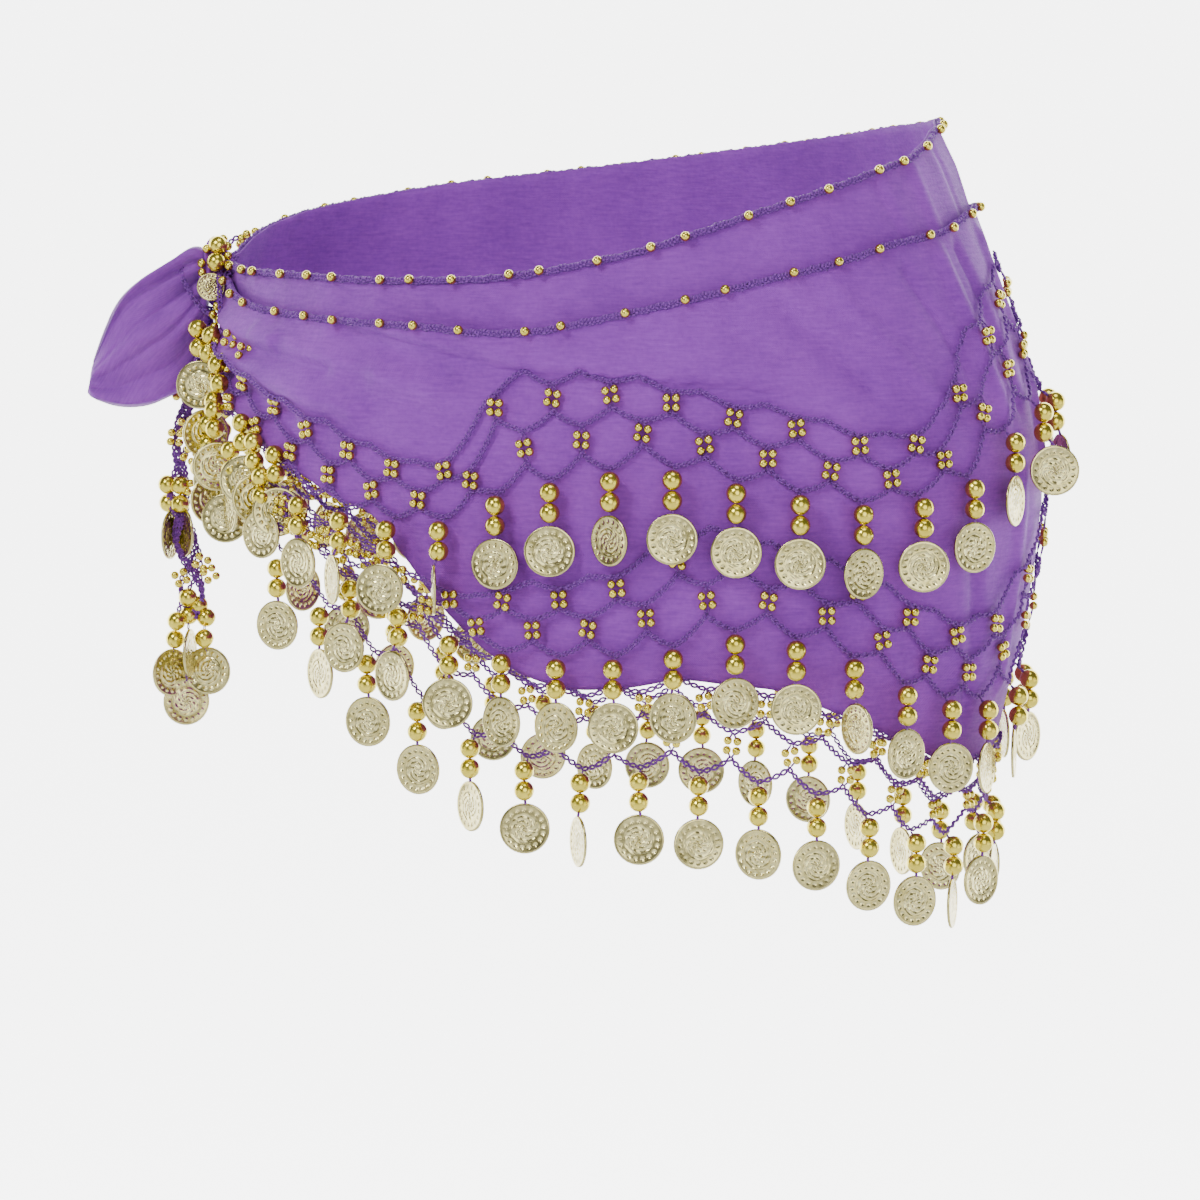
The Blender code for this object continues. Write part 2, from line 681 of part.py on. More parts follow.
def knot_strand():
    """Short chain under the knot with two strands over the cloth, the first on a longer thread."""
    frames, strands = [], []
    for turn in (4.0, 4.7, 5.3, 7.5, 9.9, 10.5, 11.2):
        height = KNOT_HEIGHT - 15.8 * MM
        _, outward, along = hip_frame(turn, height)
        frames.append((hip_point(turn, height, face_lift(turn, height) + TRIM_OFFSET), outward, along))

    def rule(turn, lift):
        def place_at(base, outward, drop, share):
            face = hip_point(turn, base[2] - drop, OUTER_FACE + lift * MM)
            place = base + outward * float((face - base) @ outward)
            place[2] = base[2] - drop
            return place
        return place_at

    strands.append((1, math.radians(55.0), 10.0 * MM, rule(5.0, 7.2)))
    strands.append((4, math.radians(25.0), 0.0, rule(10.2, 9.2)))
    fringe("knot_coins", frames, strands)


def build():
    for side, start in (("front_right", 0.0), ("front_left", 90.0), ("back_left", 180.0), ("back_right", 270.0)):
        first, last = start + SEAM_TURN, start + 90.0 - SEAM_TURN
        cloth(f"inner_layer_{side}", first, last, INNER_ROWS, False)
        cloth(f"outer_layer_{side}", first, last, OUTER_ROWS, True)
    for side, start in (("front", 0.0), ("back", 180.0)):
        first, last = start + SEAM_TURN, start + 180.0 - SEAM_TURN
        trim(f"top_trim_{side}", first, last, False)
        trim(f"outer_trim_{side}", first, last, True)
        for tier in TIERS:
            net(tier, side)
            tier_fringe(tier, side)
    knot()
    bow_loop()
    tail()
    knot_strand()


clear_scene()
COLLECTION = bpy.data.collections.new("belly_dance_hip_scarf")
bpy.context.scene.collection.children.link(COLLECTION)
build()
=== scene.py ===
"""Belly dance hip scarf, tied at the wearer's right hip.

Crinkled purple chiffon in two layers, crocheted chains and three tiers of crocheted net,
small and large gold beads, and pale gold coins. A point on the hips is given by its turn in
degrees from the knot, its height over the origin and its lift outward from the hip form.
"""

import math

import bmesh
import bpy
import numpy as np
from mathutils import Matrix, Vector


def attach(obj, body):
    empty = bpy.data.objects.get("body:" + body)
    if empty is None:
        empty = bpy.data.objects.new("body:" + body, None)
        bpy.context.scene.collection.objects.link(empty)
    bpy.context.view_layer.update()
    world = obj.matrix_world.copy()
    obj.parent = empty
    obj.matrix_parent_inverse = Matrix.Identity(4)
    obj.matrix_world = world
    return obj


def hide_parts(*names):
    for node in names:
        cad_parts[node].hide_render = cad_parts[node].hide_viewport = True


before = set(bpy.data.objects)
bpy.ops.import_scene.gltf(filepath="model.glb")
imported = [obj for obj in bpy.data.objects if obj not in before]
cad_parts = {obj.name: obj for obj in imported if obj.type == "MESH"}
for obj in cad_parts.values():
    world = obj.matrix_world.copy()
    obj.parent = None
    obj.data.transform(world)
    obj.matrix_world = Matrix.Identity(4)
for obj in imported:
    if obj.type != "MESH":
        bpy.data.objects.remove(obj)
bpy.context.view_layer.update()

bl_info = {
    "name": "Belly dance hip scarf",
    "version": (1, 0, 0),
    "blender": (4, 5, 0),
    "location": "3D View > Sidebar > Hip scarf",
    "description": "Dresses a hip scarf with chiffon, crochet, beads and coins",
    "category": "Object",
}

MM = 0.001

# Hip form, as in the solids
DEPTH_RATIO = 0.68
KNOT_BEARING = math.radians(33.0)
# The knot's angle on the ellipse of the hips
KNOT_PARAMETER = math.atan2(DEPTH_RATIO * math.sin(KNOT_BEARING), math.cos(KNOT_BEARING)) - math.pi
# columns: height, half width of the hips, sideways sway of the pose
HIP_FORM = np.array((
    (-200.0, 147.7, -2.7),
    (-169.2, 154.0, -1.5),
    (-130.8, 161.9, -0.4),
    (-101.5, 166.5, 0.0),
    (-74.2, 169.1, 0.8),
    (-54.6, 169.1, 0.8),
    (-30.8, 166.5, 0.0),
    (-7.7, 161.1, -1.9),
    (19.2, 153.1, -3.8),
    (51.9, 143.9, -5.4),
    (76.9, 134.2, -7.7),
)) * MM

# Height and lift of the outlines along which lengths round the hips are read
GIRTH_AT = (-0.06, 0.004)
SPACING_AT = (-0.07, 0.008)
# Millimetres of the outline to a degree of turn, for the creases
DEGREE_MM = 2.4

# Outer face of the inner layer, inner and outer face of the outer one
INNER_FACE = 2.2 * MM
OUTER_LIFT = 2.5 * MM
OUTER_FACE = 3.7 * MM

# Edges and net lines: columns turn, height
TOP_EDGE_FRONT = ((0, 14), (15, 12), (35, 12), (55, 11), (72, 12.5), (82, 16), (95, 23),
                  (112, 36), (126, 45), (140, 53), (150, 57), (165, 66), (180, 70))
TOP_EDGE_BACK = ((180, 70), (210, 66), (240, 58), (270, 49), (300, 41), (330, 31), (345, 24),
                 (360, 14))
OUTER_EDGE = ((0, 9.5), (5, 8.5), (13, 5), (20, 1.5), (28, -1.5), (45, -4), (64, -5), (72, -7),
              (80, -6.5), (88, -2), (95, 2), (105, 8), (115, 14), (125, 18.5), (138, 26),
              (153, 30), (165, 36), (180, 38))
TUCK = ((44, -3), (52, -6), (71, -17), (77, -20), (88, -22), (95, -23), (104, -24), (114, -27))
HEM = ((0, -24), (4, -29), (25, -45), (35, -58), (43.5, -66), (48, -72), (54.6, -75), (59, -88),
       (65.5, -110), (71.5, -125), (76.5, -133), (80, -136.5), (85, -139), (92.5, -137.5),
       (99.5, -133.5), (107.5, -136), (114, -137.5), (123, -146), (133.5, -155), (147.5, -167.5),
       (153, -170), (163.5, -167), (180, -164))
UPPER_TOP = ((6, -10), (29.5, -25), (36.5, -32.5), (47, -41.5), (56, -51), (64.5, -56.5),
             (68, -52), (71, -43), (73.5, -27), (76.5, -20.5), (81, -22), (88.5, -20.5),
             (95.5, -23), (102, -27.5), (108, -31.5), (114, -33), (122, -40.5), (130.5, -43.5),
             (137, -40), (143.5, -21), (150.5, -3.5), (164.5, 15), (180, 20))
UPPER_LOW = ((6, -30), (25, -49), (36.5, -61), (45.5, -72), (55, -76), (62.5, -77.5), (68, -76),
             (73.5, -66.5), (78.5, -63.5), (82.5, -60), (88, -57.5), (93.5, -53), (100.5, -56),
             (108.5, -61), (117.5, -65), (127.5, -69), (137, -64), (145, -59), (152, -47),
             (158, -38), (166.5, -32.5), (180, -30))
MIDDLE_TOP = ((34, -68.5), (48, -83), (51, -85), (55, -88), (64.5, -100), (71.3, -105),
              (77.5, -98.5), (84, -98.5), (92, -91.5), (95, -86), (98, -80), (104.5, -76),
              (106.5, -78.5), (112.5, -83.5), (122, -90.5), (133, -102.5), (141.5, -111.5),
              (149, -113), (156, -106), (163, -90), (170, -75), (180, -68))
MIDDLE_LOW = ((34, -80), (48, -94), (55.5, -103), (63.5, -113), (70, -121), (78, -126),
              (91.5, -125), (98, -121.5), (106, -115), (111.5, -115), (120, -120), (127, -127),
              (137, -138.5), (150.5, -145), (166, -140), (180, -134))
LOWER_TOP = ((34, -64), (43.5, -75), (48, -79), (54.6, -83), (59, -92), (65.5, -112),
             (71.5, -124), (76.5, -132), (80, -135.5), (85, -138), (92.5, -136.5), (99.5, -132.5),
             (107.5, -135), (114, -136.5), (123, -145), (133.5, -154), (147.5, -166.5),
             (153, -169), (163.5, -166), (180, -163))
LOWER_LOW = ((34, -86), (38, -95), (49, -117), (57, -133.5), (63, -146), (70, -157),
             (76.5, -163.5), (82.5, -166.5), (88.5, -169), (96, -166.5), (103.5, -168),
             (111.5, -171.5), (121.5, -176), (130.5, -184), (140.5, -191.5), (152, -196),
             (163, -189), (180, -186))

# Folds of the outer layer: columns turn, height, turn, height, half width, rise
FOLDS = (
    (16, -8, 42, -30, 14, 2.4),
    (18, -18, 62, -50, 13, 2.0),
    (118, -30, 150, -120, 15, 1.6),
    (160, 10, 168, -90, 14, 2.0),
    (176, 20, 178, -120, 15, 1.6),
    (84, -50, 92, -120, 16, 1.4),
)
TUCK_RISE = 3.4 * MM
# Small creases of the outer layer, the same columns; a negative rise is a trough
CREASES = (
    (6, -6, 34, -14, 3.6, 0.9),
    (6, -10, 46, -24, 3.2, -0.8),
    (7, -14, 52, -38, 3.8, 1.0),
    (8, -18, 40, -42, 3.0, -0.7),
    (8, -22, 36, -54, 3.4, 0.8),
    (30, -10, 74, -34, 3.6, 0.7),
    (48, -8, 66, -22, 3.0, -0.6),
    (56, -26, 84, -48, 4.2, 0.6),
    (70, -8, 78, -18, 2.4, 0.7),
    (84, -8, 96, -18, 3.0, -0.6),
    (98, -2, 112, -20, 3.4, 0.6),
    (116, 2, 128, -28, 4.0, -0.7),
    (126, 6, 140, -34, 3.6, 0.7),
    (140, 14, 148, -20, 3.6, -0.8),
    (150, 20, 156, -40, 4.2, 0.9),
    (156, 22, 162, -36, 3.2, -0.7),
    (170, 26, 174, -60, 4.0, 0.8),
    (96, -62, 104, -110, 4.6, 0.6),
    (74, -70, 80, -118, 4.4, -0.6),
    (120, -70, 134, -132, 5.0, 0.7),
    (146, -74, 152, -150, 4.8, -0.8),
    (160, -64, 164, -140, 4.4, 0.8),
    (60, -60, 66, -100, 4.0, 0.6),
)
# Creases of the inner layer
BAND_CREASES = (
    (8, 9, 30, 2, 2.8, 0.6),
    (24, 8, 52, 2, 2.6, -0.5),
    (58, 9, 72, -4, 2.8, 0.6),
    (71, 9, 79, -5, 2.2, 0.8),
    (76, 11, 84, -3, 2.0, -0.6),
    (88, 15, 100, 2, 2.8, 0.6),
    (104, 26, 116, 10, 3.0, -0.6),
    (122, 38, 130, 18, 3.4, 0.8),
    (138, 48, 143, 24, 3.0, -0.7),
    (150, 52, 153, 28, 3.4, 0.8),
    (162, 60, 166, 34, 3.2, -0.8),
    (172, 64, 175, 36, 3.4, 0.7),
)

# Lift of a tier's middle line from the cloth's face, and of its beads and coins
NET_LIFT = {
    "upper": ((0, 1.4), (180, 1.4)),
    "middle": ((34, 4.0), (76, 4.0), (86, 1.8), (180, 1.8)),
    "lower": ((34, 1.5), (180, 1.5)),
}
BEAD_LIFT = {
    "upper": ((0, 7.6), (61, 7.6), (69, 5.4), (180, 5.4)),
    "middle": ((34, 6.6), (90, 6.6), (110, 6.4), (180, 6.4)),
    "lower": ((34, 5.6), (180, 5.6)),
}
COIN_LIFT = {
    "upper": ((0, 7.6), (46, 7.6), (49, 11.4), (61, 11.4), (69, 5.4), (180, 5.4)),
    "middle": ((34, 10.6), (62, 10.6), (71, 6.6), (90, 6.6), (110, 6.6), (180, 6.6)),
    "lower": ((34, 5.6), (180, 5.6)),
}
# columns: coins to a half, first turn, first coin's turn, upper line, lower line
TIERS = {
    "upper": (19, 10.0, 19.0, UPPER_TOP, UPPER_LOW),
    "middle": (15, 34.0, 53.0, MIDDLE_TOP, MIDDLE_LOW),
    "lower": (16, 34.0, 38.0, LOWER_TOP, LOWER_LOW),
}
# columns: a net row's share of the tier's height at its peaks, and at its dips
NET_ROWS = ((0.0, 0.10), (0.36, 0.52), (0.80, 1.0))
LEAD_TURNS = 4.6
CHAIN_STEP = 0.6 * MM
# Beads of a cluster, at the corners of a square of twice this gap
CORNERS = ((-1, -1), (-1, 1), (1, 1), (1, -1))
CLUSTER_GAP = 1.78 * MM
# A strand's places below its chain
FIRST_BEAD = 4.8 * MM
SECOND_BEAD = 12.3 * MM
COIN_MIDDLE = 26.4 * MM
# The coin's hole, from its rim
HOLE_INSET = 1.4 * MM

# Knot, bow loop and tail, in the plane that stands out from the hip at the knot
KNOT_OUT = 10.3 * MM
KNOT_HEIGHT = 9.6 * MM
KNOT_HALF = (6.0 * MM, 12.0 * MM, 13.0 * MM)
# columns: outer point of the top edge, its height, outer point of the lower edge, its height,
# half gap
BOW_LOOP = (
    (13.6, 17.0, 11.4, -10.0, 3.0),
    (17.4, 20.0, 15.6, -19.0, 4.2),
    (23.5, 16.2, 18.6, -27.0, 5.0),
    (32.3, 10.8, 22.7, -36.5, 7.5),
    (40.0, 5.8, 27.7, -38.8, 9.0),
    (48.0, -1.9, 36.2, -42.7, 8.6),
    (54.0, -15.4, 47.7, -43.2, 6.0),
    (57.7, -25.4, 58.6, -39.7, 2.6),
    (58.6, -28.0, 60.4, -37.8, 0.0),
)

TURNS = np.linspace(0.0, 360.0, 1441)
LINES = {}


def settings():
    """The colours and sizes that the panel shows."""
    return bpy.context.scene.hip_scarf


def in_front(turn):
    """The front turn that a turn of the back half mirrors."""
    return np.where(turn <= 180.0, turn, 360.0 - turn)


def from_table(table, turn):
    """A table's value in metres at any turn, the back half mirroring the front."""
    return np.interp(in_front(turn), *np.array(table, float).T) * MM


def averaged(values, spread):
    """Values at the turns, averaged with a bell curve of the given spread in degrees."""
    steps = np.arange(-24, 25) * 0.25
    bell = np.exp(-0.5 * (steps / spread) ** 2)
    return np.convolve(np.pad(values, 24, mode="reflect"), bell / bell.sum(), "valid")


def line(table, spread):
    """Heights round the hips of a table's line: straight runs between its rows, averaged."""
    return averaged(from_table(table, TURNS), spread)


def top_edge():
    """Heights of the upper edge, which has its own table for the back half."""
    front = np.interp(TURNS, *np.array(TOP_EDGE_FRONT, float).T)
    back = np.interp(TURNS, *np.array(TOP_EDGE_BACK, float).T)
    return averaged(np.where(TURNS <= 180.0, front, back) * MM, 2.0)


def at(values, turn):
    """A line's value at any turn."""
    return np.interp(np.mod(turn, 360.0), TURNS, values)


def hip(turn, height, lift=0.0):
    """Point at (half width cos angle, depth sin angle, height) plus the pose's sway, pushed out
    along the ellipse's normal (depth cos angle, half width sin angle) by the lift. Also gives
    the outward and the along direction."""
    turn, height, lift = np.broadcast_arrays(
        np.asarray(turn, float), np.asarray(height, float), np.asarray(lift, float))
    half = np.interp(height, HIP_FORM[:, 0], HIP_FORM[:, 1])
    sway = np.interp(height, HIP_FORM[:, 0], HIP_FORM[:, 2])
    angle = KNOT_PARAMETER + np.radians(turn)
    deep = half * DEPTH_RATIO
    point = np.stack((half * np.cos(angle) + sway * math.cos(KNOT_BEARING),
                      deep * np.sin(angle) + sway * math.sin(KNOT_BEARING), height), axis=-1)
    outward = np.stack((deep * np.cos(angle), half * np.sin(angle), 0.0 * angle), axis=-1)
    outward /= np.linalg.norm(outward, axis=-1, keepdims=True)
    along = np.stack((-outward[..., 1], outward[..., 0], 0.0 * angle), axis=-1)
    return point + outward * lift[..., None], outward, along


def ridges(table, turn, height, shift=0.0):
    """Sum over a table's rows of rise times exp(-(distance from the row's segment / width)^2);
    the back half mirrors the front, shifted."""
    back = turn > 180.0
    there = np.where(back, 360.0 - turn - shift, turn) * DEGREE_MM
    high = height / MM
    total = np.zeros(np.broadcast(there, high).shape)
    for turn_a, height_a, turn_b, height_b, width, rise in table:
        start = turn_a * DEGREE_MM
        dx, dz = (turn_b - turn_a) * DEGREE_MM, height_b - height_a
        share = ((there - start) * dx + (high - height_a) * dz) / (dx * dx + dz * dz)
        share = np.clip(share, 0.0, 1.0)
        away = (there - start - share * dx) ** 2 + (high - height_a - share * dz) ** 2
        total += rise * MM * np.exp(-away / width ** 2)
    return total


def tuck_rise(turn, height, tuck):
    """A step of the tuck's rise over 2.2 mm at its line, faded in and out along the front."""
    there = in_front(turn)
    window = np.clip((there - 40.0) / 9.0, 0, 1) * np.clip((122.0 - there) / 12.0, 0, 1)
    over = np.clip((height - at(tuck, turn)) / (2.2 * MM) + 0.5, 0, 1)
    over = over * over * (3 - 2 * over)
    return TUCK_RISE * window * over


def knot_pull(turn, height):
    """Cloth drawn out to the knot: a bell 5 degrees and 13 mm wide round its place."""
    away = (in_front(turn) / 5.0) ** 2 + ((height - 6.0 * MM) / (13.0 * MM)) ** 2
    return 5.0 * MM * np.exp(-away)


def outer_rise(turn, height):
    """Rise of the outer layer over its plain form: broad folds, the tuck, small creases and
    the pull of the knot."""
    soft = np.sin(turn * 0.55 + height * 90.0) * np.sin(turn * 0.21 + 1.0 + height * 37.0)
    soft = 0.28 * MM * soft
    rise = ridges(FOLDS, turn, height, 5.0) + tuck_rise(turn, height, LINES["tuck"])
    rise = rise + 2.6 * ridges(CREASES, turn, height, 3.5) + soft
    return rise + knot_pull(turn, height) + 0.28 * MM


def lengths(path):
    """Length along a path from its start to each of its points."""
    return np.concatenate([[0.0], np.cumsum(np.linalg.norm(np.diff(path, axis=0), axis=-1))])


def columns(where, stops, rows):
    """Each column of the rows, given at the stops, read off at other places."""
    return np.stack([np.interp(where, stops, column) for column in np.transpose(rows)], axis=-1)


def arc_turns(first, last, count):
    """Turns at equal lengths of the hip's outline."""
    fine = np.linspace(first, last, 800)
    run = lengths(hip(fine, *SPACING_AT)[0])
    return np.interp(np.linspace(0.0, run[-1], count), run, fine)


def make_mesh(name, points, faces, uv=None, poles=False):
    """Object at the origin from arrays of points, faces of equal size and corner coordinates.
    Where a row of points has shrunk to a pole or an end, its points are joined into one."""
    points = np.asarray(points, np.float32).reshape(-1, 3)
    faces = np.asarray(faces, np.int32)
    count, sides = faces.shape
    mesh = bpy.data.meshes.new(name)
    mesh.vertices.add(len(points))
    mesh.vertices.foreach_set("co", points.ravel())
    mesh.loops.add(count * sides)
    mesh.loops.foreach_set("vertex_index", faces.ravel())
    mesh.polygons.add(count)
    mesh.polygons.foreach_set("loop_start", np.arange(0, count * sides, sides, dtype=np.int32))
    mesh.polygons.foreach_set("loop_total", np.full(count, sides, np.int32))
    mesh.update(calc_edges=True)
    if uv is not None:
        layer = mesh.uv_layers.new(name="UVMap")
        layer.data.foreach_set("uv", np.asarray(uv, np.float32).ravel())
    mesh.validate()
    if poles:
        work = bmesh.new()
        work.from_mesh(mesh)
        bmesh.ops.remove_doubles(work, verts=work.verts, dist=0.001 * MM)
        work.to_mesh(mesh)
        work.free()
    mesh.shade_smooth()
    item = bpy.data.objects.new(name, mesh)
    bpy.context.scene.collection.objects.link(item)
    return item


def grid_faces(n, m, wrap_n=False, wrap_m=False):
    """Quads of an n by m grid of points, and the same quads on its unwrapped corners."""
    i = np.arange(n if wrap_n else n - 1)[:, None]
    j = np.arange(m if wrap_m else m - 1)[None, :]
    i, j = np.broadcast_arrays(i, j)
    corners = ((i, j), (i + 1, j), (i + 1, j + 1), (i, j + 1))
    faces = np.stack([(a % n) * m + (b % m) for a, b in corners], axis=-1).reshape(-1, 4)
    places = np.stack([np.stack((a, b), axis=-1) for a, b in corners], axis=-2).reshape(-1, 4, 2)
    return faces, places


def sheet_mesh(name, points, across, down, wrap=True, thickness=0.5 * MM):
    """Cloth from a grid of points; across and down are its corner coordinates in metres."""
    n, m = points.shape[:2]
    faces, places = grid_faces(n, m, wrap_n=wrap)
    uv = np.stack((across[places[..., 0], np.minimum(places[..., 1], m - 1)],
                   down[places[..., 0] % n, places[..., 1]]), axis=-1)
    item = make_mesh(name, points, faces[:, ::-1], uv[:, ::-1])
    wall = item.modifiers.new("wall", "SOLIDIFY")
    wall.thickness = thickness
    wall.offset = 1.0
    return item


def tubes(name, paths, normals, radius, sides):
    """Yarn along many paths of equal count. Each ring is path + radius (cos a normal + sin a side),
    and its radius is nothing at the ends. The corner coordinates are the length and the share
    round."""
    count, m = paths.shape[:2]
    tangent = np.gradient(paths, axis=1)
    tangent /= np.linalg.norm(tangent, axis=-1, keepdims=True)
    side = np.cross(tangent, normals)
    side /= np.linalg.norm(side, axis=-1, keepdims=True)
    up = np.cross(side, tangent)
    steps = np.linalg.norm(np.diff(paths, axis=1), axis=-1)
    run = np.concatenate([np.zeros((count, 1)), np.cumsum(steps, axis=1)], axis=1)
    width = np.full(run.shape, radius)
    width[:, 0] = width[:, -1] = 0.0
    angle = np.linspace(0.0, 2.0 * math.pi, sides, endpoint=False)
    ring = up[:, :, None] * np.cos(angle)[:, None] + side[:, :, None] * np.sin(angle)[:, None]
    points = paths[:, :, None] + ring * width[:, :, None, None]
    faces, places = grid_faces(m, sides, wrap_m=True)
    faces = (faces[None] + (np.arange(count) * m * sides)[:, None, None]).reshape(-1, 4)
    u = run[:, places[..., 0]]
    uv = np.stack((u, np.broadcast_to(places[..., 1] / sides, u.shape)), axis=-1).reshape(-1, 4, 2)
    return make_mesh(name, points, faces[:, ::-1], uv[:, ::-1], poles=True)


def stamp(name, shape, centres, right, up, out, uv=None):
    """Copies of one small shape at many centres, each with its own right, up and out axes."""
    points, faces = shape
    placed = (centres[:, None] + points[None, :, :1] * right[:, None]
              + points[None, :, 1:2] * up[:, None] + points[None, :, 2:] * out[:, None])
    many = faces[None] + (np.arange(len(centres)) * len(points))[:, None, None]
    corner = None
    if uv is not None:
        corner = np.broadcast_to(uv, (len(centres),) + uv.shape)
    return make_mesh(name, placed, many.reshape(-1, faces.shape[1]), corner, poles=True)


def ball(radius, around, rings):
    """Points (sin b cos a, cos b, sin b sin a) times the radius."""
    a = np.linspace(0.0, 2.0 * math.pi, around, endpoint=False)
    b = np.linspace(0.0, math.pi, rings)
    points = np.stack((np.sin(b)[:, None] * np.cos(a), np.cos(b)[:, None] * np.ones(around),
                       np.sin(b)[:, None] * np.sin(a)), axis=-1) * radius
    faces, _ = grid_faces(rings, around, wrap_m=True)
    return points.reshape(-1, 3), faces


COIN_DOTS = 17
# columns of the coin's turned outline: share of its radius, half thickness in millimetres
COIN_PROFILE = np.array(((0.0, 0.36), (0.30, 0.36), (0.62, 0.35), (0.84, 0.34), (0.90, 0.52),
                         (0.97, 0.52), (1.0, 0.34), (1.0, -0.34), (0.97, -0.52), (0.90, -0.52),
                         (0.84, -0.34), (0.62, -0.35), (0.30, -0.36), (0.0, -0.36)))


def coin(radius):
    """Turned disc: each outline row (share, thickness) goes round as (share cos a, share sin a,
    thickness). Its corner coordinates are the place on the disc from -1 to 1."""
    around = 32
    a = np.linspace(0.0, 2.0 * math.pi, around, endpoint=False)
    share, thick = COIN_PROFILE[:, 0], COIN_PROFILE[:, 1] * MM
    points = np.stack((share[:, None] * np.cos(a) * radius, share[:, None] * np.sin(a) * radius,
                       thick[:, None] * np.ones(around)), axis=-1)
    faces, places = grid_faces(len(share), around, wrap_m=True)
    angle = places[..., 1] * 2.0 * math.pi / around
    flat = share[places[..., 0]][..., None] * np.stack((np.cos(angle), np.sin(angle)), axis=-1)
    return points.reshape(-1, 3), faces[:, ::-1], flat[:, ::-1]


class Value:
    """A shader socket that Python's own signs work on."""

    def __init__(self, maker, socket):
        self.maker = maker
        self.socket = socket

    def math(self, operation, *others):
        """A Math node on this value and any others, in that order."""
        return self.maker.math(operation, self, *others)

    def __add__(self, other):
        return self.math("ADD", other)

    def __sub__(self, other):
        return self.math("SUBTRACT", other)

    def __rsub__(self, other):
        return self.maker.math("SUBTRACT", other, self)

    def __mul__(self, other):
        return self.math("MULTIPLY", other)

    def __pow__(self, other):
        return self.math("POWER", other)

    def clamped(self, low=0.0, high=1.0):
        """This value held between two limits."""
        return self.math("MAXIMUM", low).math("MINIMUM", high)


class Finish:
    """A node material and the one way to add a node to it."""

    def __init__(self, name):
        self.material = bpy.data.materials.new(name)
        self.material.use_nodes = True
        self.tree = self.material.node_tree
        self.tree.nodes.clear()
        output = self.tree.nodes.new("ShaderNodeOutputMaterial")
        self.shader = self.tree.nodes.new("ShaderNodeBsdfPrincipled")
        self.tree.links.new(self.shader.outputs[0], output.inputs[0])

    def put(self, target, value):
        if isinstance(value, Value):
            self.tree.links.new(value.socket, target)
        elif value is not None:
            target.default_value = value

    def node(self, kind, choices=(), values=(), output=0, **named):
        """A node of a kind: its settings first, then its sockets' values or links."""
        made = self.tree.nodes.new(kind)
        for key, choice in dict(choices).items():
            setattr(made, key, choice)
        for target, value in zip(made.inputs, values):
            self.put(target, value)
        for key, value in named.items():
            self.put(made.inputs[key.replace("_", " ")], value)
        return Value(self, made.outputs[output])

    def math(self, operation, *values):
        return self.node("ShaderNodeMath", {"operation": operation}, values)

    def mix(self, share, low, high):
        """Colour between a low and a high one."""
        made = self.tree.nodes.new("ShaderNodeMix")
        made.data_type = "RGBA"
        self.put(made.inputs[0], share)
        for target, colour in ((made.inputs[6], low), (made.inputs[7], high)):
            self.put(target, tuple(colour) + (1.0,))
        return Value(self, made.outputs[2])

    def place(self):
        """The object's own coordinates."""
        return self.node("ShaderNodeTexCoord", output=3)

    def corner(self):
        """The piece's corner coordinates."""
        return self.node("ShaderNodeUVMap", {"uv_map": "UVMap"})

    def split(self, vector):
        made = self.tree.nodes.new("ShaderNodeSeparateXYZ")
        self.put(made.inputs[0], vector)
        return Value(self, made.outputs[0]), Value(self, made.outputs[1])

    def noise(self, vector, scale, detail=2.0, roughness=0.5):
        return self.node("ShaderNodeTexNoise", Vector=vector, Scale=scale, Detail=detail,
                         Roughness=roughness)

    def bump(self, height, strength, distance):
        made = self.tree.nodes.new("ShaderNodeBump")
        made.inputs["Strength"].default_value = strength
        made.inputs["Distance"].default_value = distance
        self.put(made.inputs["Height"], height)
        self.tree.links.new(made.outputs[0], self.shader.inputs["Normal"])

    def set(self, name, value):
        self.put(self.shader.inputs[name], value)


def chiffon_finish(name, alpha=None):
    """Crepe: faint uneven ribs that run along the cloth and a fine weave, with painted light and
    painted shade mottled over it. A sheer one takes its alpha and has more of the painted light."""
    use = settings()
    finish = Finish(name)
    corner = finish.corner()
    stretched = finish.node("ShaderNodeMapping", Vector=corner, Scale=(0.14, 1.0, 1.0))
    ribs = finish.noise(stretched, 900.0, 3.0, 0.6)
    crinkle = finish.noise(corner, 520.0, 2.0, 0.6)
    cloud = finish.noise(corner, 26.0, 3.0, 0.55)
    u, v = finish.split(corner)
    weave = (u * 7800.0).math("SINE") * (v * 7800.0).math("SINE")
    # Painted light and painted shade: ribs, crinkle and clouds mix the shaded chiffon colour with
    # the lit one, the sheer one nearer the lit one
    tone = ribs * 0.7 + crinkle * 0.4 + cloud * 0.7 - (0.4 if alpha is None else 0.2)
    finish.set("Base Color", finish.mix(tone, use.chiffon_shade, use.chiffon_lit))
    finish.set("Roughness", 0.72)
    finish.set("Specular IOR Level", 0.25)
    finish.set("Sheen Weight", 0.05)
    finish.set("Sheen Roughness", 0.4)
    if alpha is not None:
        finish.set("Alpha", ribs * 0.08 + cloud * 0.14 + (alpha - 0.11))
    finish.bump(ribs * 0.7 + crinkle * 0.45 + weave * 0.12, 0.7, 0.5 * MM)
    return finish.material


def yarn_finish(name):
    """Mercerised yarn: plies that wind round the chain, with a painted highlight on their crowns
    and painted shade between them.
    """
    use = settings()
    finish = Finish(name)
    u, v = finish.split(finish.corner())
    ply = (u * (2.0 * math.pi / (1.5 * MM)) + v * (2.0 * math.pi)).math("SINE")
    fibre = finish.noise(finish.place(), 1400.0)
    # Painted highlight on the crowns of the plies and painted shade between them, with random fibre
    # tone
    tone = ply * 0.32 + fibre * 0.5 + 0.22
    finish.set("Base Color", finish.mix(tone, use.yarn_shade, use.yarn_lit))
    finish.set("Roughness", 0.6)
    finish.set("Specular IOR Level", 0.3)
    finish.set("Sheen Weight", 0.06)
    finish.bump(ply * 0.6 + fibre * 0.5, 0.7, 0.4 * MM)
    return finish.material


